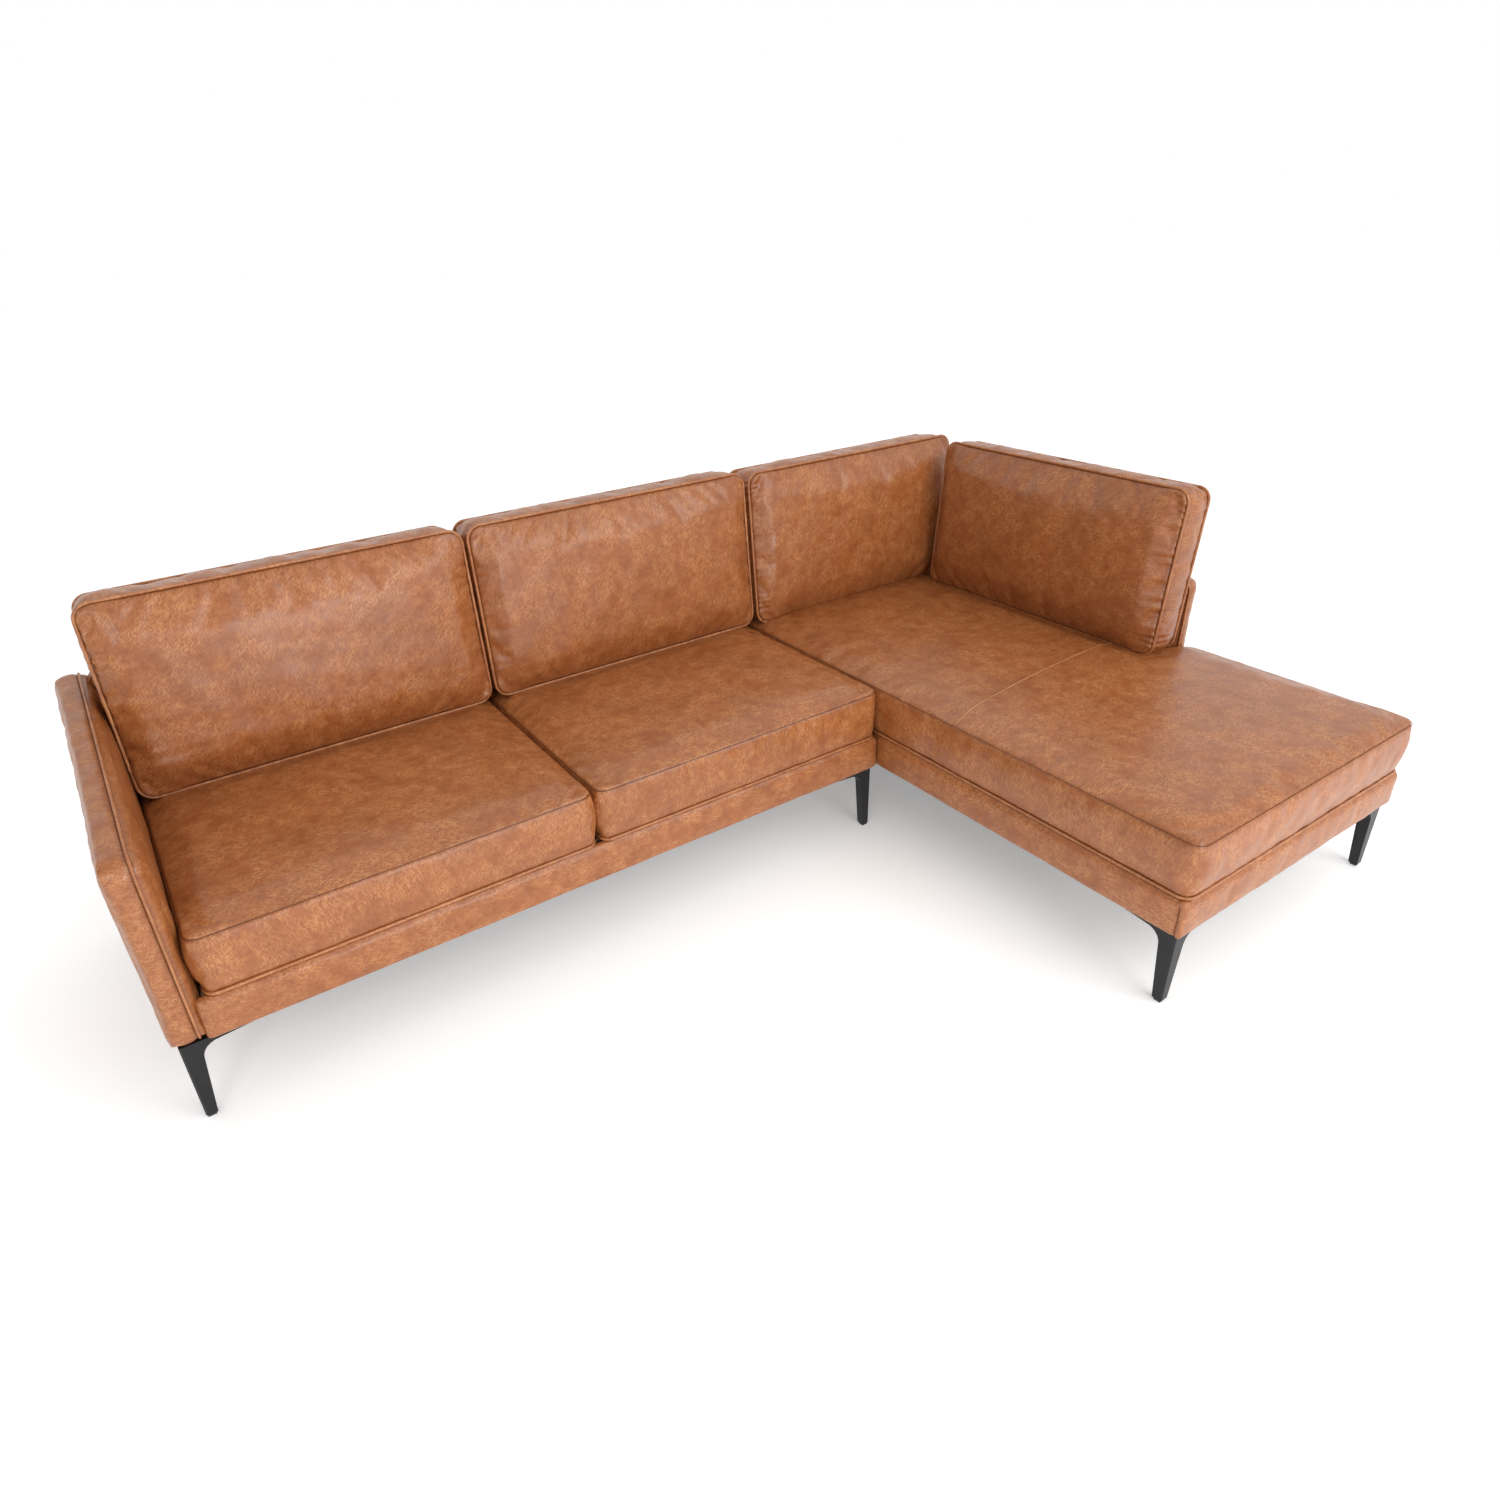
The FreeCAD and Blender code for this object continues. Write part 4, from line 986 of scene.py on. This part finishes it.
@dataclass
class BackCushions:
    """The three cushions along the back and the one against the side back, all leaning back."""

    finishes: Finishes
    height: float = 0.449
    edge: float = 0.112
    side_edge: float = 0.098
    crown: float = 0.034
    rear_crown: float = 0.014
    gap: float = 0.013
    side_gap: float = 0.002
    set_back: float = 0.002
    lean_degrees: float = 5.0

    def build(self) -> None:
        """Build all four."""
        rows = (
            ("back_left", 21, Gather(Panel.LEFT, 0.0036, 0.032, 0.055), Gather(Panel.RIGHT, 0.0026, 0.030, 0.040)),
            ("back_middle", 22, Gather(Panel.LEFT, 0.0020, 0.027, 0.030), Gather(Panel.RIGHT, 0.0018, 0.024, 0.028)),
            ("back_right", 23, Gather(Panel.LEFT, 0.0040, 0.018, 0.024), Gather(Panel.RIGHT, 0.0014, 0.022)),
            ("side_rest", 24, Gather(Panel.RIGHT, 0.0044, 0.021, 0.030), Gather(Panel.LEFT, 0.0014, 0.022)),
        )
        for body, seed, *gathers in rows:
            self.make(body, seed, tuple(gathers))

    def make(self, body: str, seed: int, gathers: tuple[Gather, ...]) -> None:
        """Build one cushion in the middle of its node's box.

        Args:
            body: The body that it rides on.
            seed: Where its random patterns start.
            gathers: Folds along its seams.
        """
        if body == "side_rest":
            nodes, across = ["side_cushion", "side_core"], Vector((0, -1, 0))
            edge, gap, turn, reach = self.side_edge, self.side_gap, 35.0, 0.260
        else:
            nodes, across = [body.replace("_", part) for part in ("_cushion_", "_core_")], Vector((1, 0, 0))
            edge, gap, turn, reach = self.edge, self.gap, 62.0, 0.075
        low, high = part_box(nodes[0])
        form = PadForm(
            width=abs((high - low).dot(across)) - gap, height=self.height, depth=edge, corner=0.036,
            face_crown=self.crown, back_crown=self.rear_crown, fullness=2.3, shoulder=0.055, back_shoulder=0.055,
            side_swell=0.003, lean_in=0.004, slack=0.020, movement=0.014, wave=0.0018, gathers=gathers,
            # Painted shade deepens towards the bottom, by the seat.
            ripple=0.0022, hide_turn=turn, shaded_edge=Panel.LOWER, shade_reach=reach, seed=seed,
        )
        lean = math.radians(self.lean_degrees)
        along = UP * math.cos(lean) - across.cross(UP) * math.sin(lean)
        origin = (low + high) / 2 - across.cross(along) * (edge / 2 + self.set_back)
        pieces = Pad(body, form, spot_of(origin, across, along)).build(self.finishes.panel_leather, self.finishes)
        hand_over(pieces, body, nodes)


@dataclass
class PaddedWalls:
    """The arm, the two back walls and the side back, each with one leather cover over its pads."""

    finishes: Finishes
    reach: float = 0.014
    drop: float = 0.078
    arm_run: float = 0.800

    def build(self) -> None:
        """Build all four."""
        walls = (("arm", (0, 1, 0)), ("sofa_back", (1, 0, 0)), ("chaise_back", (1, 0, 0)), ("side_back", (0, -1, 0)))
        for seed, (name, across) in enumerate(walls, 31):
            front, rear = self.rises(name)
            start, end = (rear, front) if name == "side_back" else (front, rear)
            self.make(name, Vector(across), start, end, seed)

    def rises(self, name: str) -> tuple[float, float]:
        """Heights of a wall at its front and at its rear, which are the same for the level ones."""
        low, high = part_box(name + "_inner_pad")
        run, rear = high.y - low.y, high.z - low.z
        slope = {"arm": self.drop / self.arm_run, "side_back": self.drop / run}.get(name, 0.0)
        return rear - slope * run, rear

    def make(self, name: str, across: Vector, start_rise: float, end_rise: float, seed: int) -> None:
        """Build one wall in the box of its nodes.

        Args:
            name: The wall's name.
            across: Direction of its run, seen from its seat side.
            start_rise: Its height where the run starts.
            end_rise: Its height where the run ends.
            seed: Where its random patterns start.
        """
        nodes = [name + part for part in ("_outer_pad", "_boxing_strip", "_inner_pad")]
        boxes = [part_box(node) for node in nodes]
        low = Vector([min(box[0][axis] for box in boxes) for axis in range(3)])
        high = Vector([max(box[1][axis] for box in boxes) for axis in range(3)])
        if name == "sofa_back":
            low.x -= self.reach
            boxes[1][0].x -= self.reach
        out = across.cross(UP)
        outer, strip, inner = (abs((box[1] - box[0]).dot(out)) for box in boxes)
        middle = (boxes[1][0] + boxes[1][1]) / 2
        origin = Vector((middle.x, middle.y, low.z + start_rise / 2)) - out * strip / 2
        gathers = ()
        if start_rise != end_rise:
            side = Panel.LEFT if name == "arm" else Panel.RIGHT
            gathers = (Gather(side, 0.0006, 0.030, 0.030), Gather(Panel.UPPER, 0.0004, 0.040, 0.020))
        form = PadForm(
            width=abs((high - low).dot(across)) - 0.001, height=start_rise, depth=strip, corner=0.036,
            face_crown=inner - 0.003, back_crown=outer - 0.002, fullness=6.0, shoulder=0.022, back_shoulder=0.014,
            shoulder_share=0.9, side_swell=0.003, right_height=end_rise, pressure=1.4, slack=0.008, movement=0.004,
            wave=0.0014, piping_radius=0.0030, edge_pull=0.65, back_trim=Trim.NONE, gathers=gathers, seed=seed,
        )
        pieces = Pad(name, form, spot_of(origin, across, UP)).build(self.finishes.panel_leather, self.finishes)
        hand_over(pieces, "frame", nodes)


@dataclass
class Bands:
    """The padded leather bands round the bases."""

    finishes: Finishes
    fold: float = 0.028
    skin: float = 0.0134
    reach: float = 0.014
    cell: float = 0.012

    def build(self) -> None:
        """Build all five."""
        faces = {"front": (0, -1, 0), "end": (1, 0, 0), "left": (-1, 0, 0), "right": (1, 0, 0)}
        names = ("sofa_front", "sofa_end", "chaise_front", "chaise_left", "chaise_right")
        for seed, name in enumerate(names, 41):
            self.make(name + "_band", Vector(faces[name.split("_")[1]]), seed)

    def make(self, name: str, out: Vector, seed: int) -> None:
        """Build one band as a thin pad that laps over its rail.

        Args:
            name: The band's node.
            out: Direction that it faces.
            seed: Where its random patterns start.
        """
        low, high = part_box(name)
        if out.x:
            low.y -= self.fold - self.skin
        if name == "sofa_front_band":
            low.x -= self.reach
        across = UP.cross(out)
        size = high - low
        depth = abs(size.dot(out))
        form = PadForm(
            width=abs(size.dot(across)), height=size.z, depth=self.skin - 0.003, cell=self.cell, corner=0.006,
            face_crown=0.0032, fullness=6.0, shoulder=0.010, shoulder_share=0.9, side_swell=0.0012,
            face_trim=Trim.NONE, back_trim=Trim.NONE, wave=0.0008, pressure=0.6, slack=0.004, movement=0.003,
            seed=seed,
        )
        origin = (low + high) / 2 + out * (depth / 2 - self.skin)
        pad = Pad(name + "_cover", form, spot_of(origin, across, UP)).build(self.finishes.panel_leather, self.finishes)
        self.lap(pad[0], out, high, depth)
        hand_over(pad, "frame", [name])

    @staticmethod
    def lap(pad: Object, out: Vector, high: Vector, depth: float) -> None:
        """Carry the band's upper edge back over its rail."""
        places = positions(pad)
        outward = places @ np.array(out)
        front, rear = outward.max(), outward.min()
        upper = np.clip((places[:, 2] - (high.z - 0.013)) / 0.004, 0, 1)
        inner = np.clip((front - outward) / 0.010, 0, 1)
        shift = upper * inner * (depth - (front - rear))
        move_to(pad, places - np.array(out)[None, :] * shift[:, None])


@dataclass
class Decks:
    """The decks under the seat cushions and the dust cloths under the bases."""

    finishes: Finishes
    sag: float = 0.004
    wrinkle: float = 0.0006
    cells: int = 40
    cloth: float = 0.0012

    def build(self) -> None:
        """Build the decks and the dust cloths."""
        for number, name in enumerate(("sofa", "chaise")):
            self.deck(name + "_deck_pad", 51 + number)
            self.dust_cloth(name + "_dust_cloth")

    def deck(self, name: str, seed: int) -> None:
        """Build one deck as a flat pad."""
        low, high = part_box(name)
        size = high - low
        form = PadForm(
            width=size.x, height=size.y, depth=size.z, cell=0.03, corner=0.008, face_crown=0.0, side_swell=0.0,
            face_trim=Trim.NONE, back_trim=Trim.NONE, wave=0.0, pressure=0.0, held_back=True, seed=seed,
        )
        pad = Pad(name + "_cover", form, lying_spot(low, high)).build(self.finishes.deck_cloth, self.finishes)
        hand_over(pad, "frame", [name])

    def dust_cloth(self, name: str) -> None:
        """Build one dust cloth, stapled tight under the rails with a slight sag.

        Args:
            name: The cloth's node.
        """
        low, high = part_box(name)
        width, length = high.x - low.x, high.y - low.y
        deselect()
        bpy.ops.mesh.primitive_grid_add(x_subdivisions=self.cells, y_subdivisions=self.cells, size=1)
        cloth = bpy.context.object
        cloth.name = name + "_sheet"
        places = positions(cloth)
        x, y = places[:, 0] * 2, places[:, 1] * 2
        wrinkles = self.wrinkle * np.sin(x * 17 + y * 5) * (1 - x ** 4) * (1 - y ** 4)
        places[:, 0] = (low.x + high.x) / 2 + x * width / 2
        places[:, 1] = (low.y + high.y) / 2 + y * length / 2
        places[:, 2] = high.z - self.sag * (1 - x ** 2) * (1 - y ** 2) - wrinkles
        move_to(cloth, places)
        thick = cloth.modifiers.new("Thickness", "SOLIDIFY")
        thick.thickness = self.cloth
        thick.offset = -1
        bpy.ops.object.modifier_apply(modifier=thick.name)
        cloth.data.materials.append(self.finishes.dust_cloth)
        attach(cloth, "frame")
        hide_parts(name)


@dataclass
class Carcass:
    """The pieces of the frame that keep their own shapes and only get a finish."""

    finishes: Finishes

    def finish_of(self, node: str) -> Material:
        """Choose the finish of a node by its name."""
        if node == "leg_glides":
            return self.finishes.glide_plastic
        if node.startswith("leg_"):
            return self.finishes.black_metal
        if node in ("frame_screws", "unit_connectors"):
            return self.finishes.plain_steel
        if node.endswith("_webbing"):
            return self.finishes.webbing
        if node.endswith(("_frame", "_rail", "_rails")):
            return self.finishes.timber
        return self.finishes.strip_leather

    def build(self) -> None:
        """Give every node its finish."""
        for name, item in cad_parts.items():
            finish = self.finish_of(name)
            if not item.data.materials:
                item.data.materials.append(finish)
            for index in range(len(item.material_slots)):
                item.material_slots[index].material = finish
        log.info("carcass: %d nodes", len(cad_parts))


@dataclass(frozen=True)
class Studio:
    """The floor, the soft lights and the camera."""

    place: tuple[float, float, float] = (-1.171, -1.636, 1.546)
    yaw_degrees: float = -33.20
    pitch_degrees: float = -29.02
    roll_degrees: float = -2.29
    focal_pixels: float = 965.5
    centre_pixels: tuple[float, float] = (723.1, 747.7)
    image_pixels: float = 1500.0
    sensor_width: float = 36.0
    bright_side: tuple[float, float, float] = (0.94, 0.34, 0.0)
    dimming: tuple[float, float, float, float] = (-0.9, 0.2, 0.58, 1.0)
    lights: tuple[tuple, ...] = (
        ("left_light", (-2.7, -2.3, 1.7), (-0.4, 0.6, 0.7), 0.9, 15.0),
        ("front_light", (1.6, -3.4, 3.2), (0.2, 0.2, 0.4), 2.2, 50.0),
        ("low_light", (-0.1, -4.2, 1.2), (0.0, 0.4, 0.6), 1.5, 44.0),
    )

    def build(self) -> None:
        """Set up the whole studio."""
        self.camera()
        self.floor()
        self.world()
        for light in self.lights:
            self.softbox(*light)

    def camera(self) -> None:
        """Place the camera as the photograph's stood."""
        yaw, pitch, roll = (math.radians(angle) for angle in
                            (self.yaw_degrees, self.pitch_degrees, self.roll_degrees))
        ahead = Vector((-math.sin(yaw) * math.cos(pitch), math.cos(yaw) * math.cos(pitch), math.sin(pitch)))
        level = Vector((math.cos(yaw), math.sin(yaw), 0))
        upward = level.cross(ahead)
        right = level * math.cos(roll) + upward * math.sin(roll)
        top = upward * math.cos(roll) - level * math.sin(roll)
        data = bpy.data.cameras.new("camera")
        data.sensor_fit = "HORIZONTAL"
        data.sensor_width = self.sensor_width
        data.lens = self.focal_pixels / self.image_pixels * self.sensor_width
        data.shift_x = (self.image_pixels / 2 - self.centre_pixels[0]) / self.image_pixels
        data.shift_y = (self.centre_pixels[1] - self.image_pixels / 2) / self.image_pixels
        data.clip_start = 0.05
        item = bpy.data.objects.new("camera", data)
        item.matrix_world = spot_of(Vector(self.place), right, top)
        bpy.context.scene.collection.objects.link(item)
        bpy.context.scene.camera = item

    @staticmethod
    def floor() -> None:
        """Lay a plain pale floor."""
        deselect()
        bpy.ops.mesh.primitive_plane_add(size=60)
        item = bpy.context.object
        item.name = "floor"
        graph = Graph("floor")
        looks = {"Base Color": (0.97, 0.97, 0.97, 1), "Roughness": 0.9, "Emission Color": (1, 1, 1, 1),
                 "Emission Strength": 0.22}
        for name, value in looks.items():
            graph.surface.inputs[name].default_value = value
        item.data.materials.append(graph.material)

    def world(self) -> None:
        """Fill the room with white light that is dimmer on the left."""
        world = bpy.data.worlds.new("room")
        world.use_nodes = True
        tree = world.node_tree
        background = tree.nodes["Background"]
        background.inputs["Color"].default_value = (1.0, 1.0, 1.0, 1)
        bearing = tree.nodes.new("ShaderNodeVectorMath")
        bearing.operation = "DOT_PRODUCT"
        bearing.inputs[1].default_value = self.bright_side
        tree.links.new(tree.nodes.new("ShaderNodeTexCoord").outputs["Generated"], bearing.inputs[0])
        spread = tree.nodes.new("ShaderNodeMapRange")
        limits = zip(("From Min", "From Max", "To Min", "To Max"), self.dimming)
        for name, value in limits:
            spread.inputs[name].default_value = value
        tree.links.new(bearing.outputs["Value"], spread.inputs["Value"])
        tree.links.new(spread.outputs["Result"], background.inputs["Strength"])
        bpy.context.scene.world = world

    @staticmethod
    def softbox(name: str, place: Sequence[float], aim: Sequence[float], size: float, power: float) -> None:
        """Hang one large soft light."""
        data = bpy.data.lights.new(name, "AREA")
        data.shape = "SQUARE"
        data.size = size
        data.energy = power
        item = bpy.data.objects.new(name, data)
        direction = Vector(aim) - Vector(place)
        item.matrix_world = Matrix.Translation(place) @ direction.to_track_quat("-Z", "Y").to_matrix().to_4x4()
        bpy.context.scene.collection.objects.link(item)


def main() -> None:
    """Build every part of the scene in order."""
    logging.basicConfig(level=logging.INFO, format="%(name)s: %(message)s")
    Studio().build()
    bpy.context.scene.view_settings.view_transform = "Standard"
    finishes = Finishes()
    Carcass(finishes).build()
    SeatCushions(finishes).build()
    BackCushions(finishes).build()
    PaddedWalls(finishes).build()
    Bands(finishes).build()
    Decks(finishes).build()


if __name__ == "__main__":
    main()
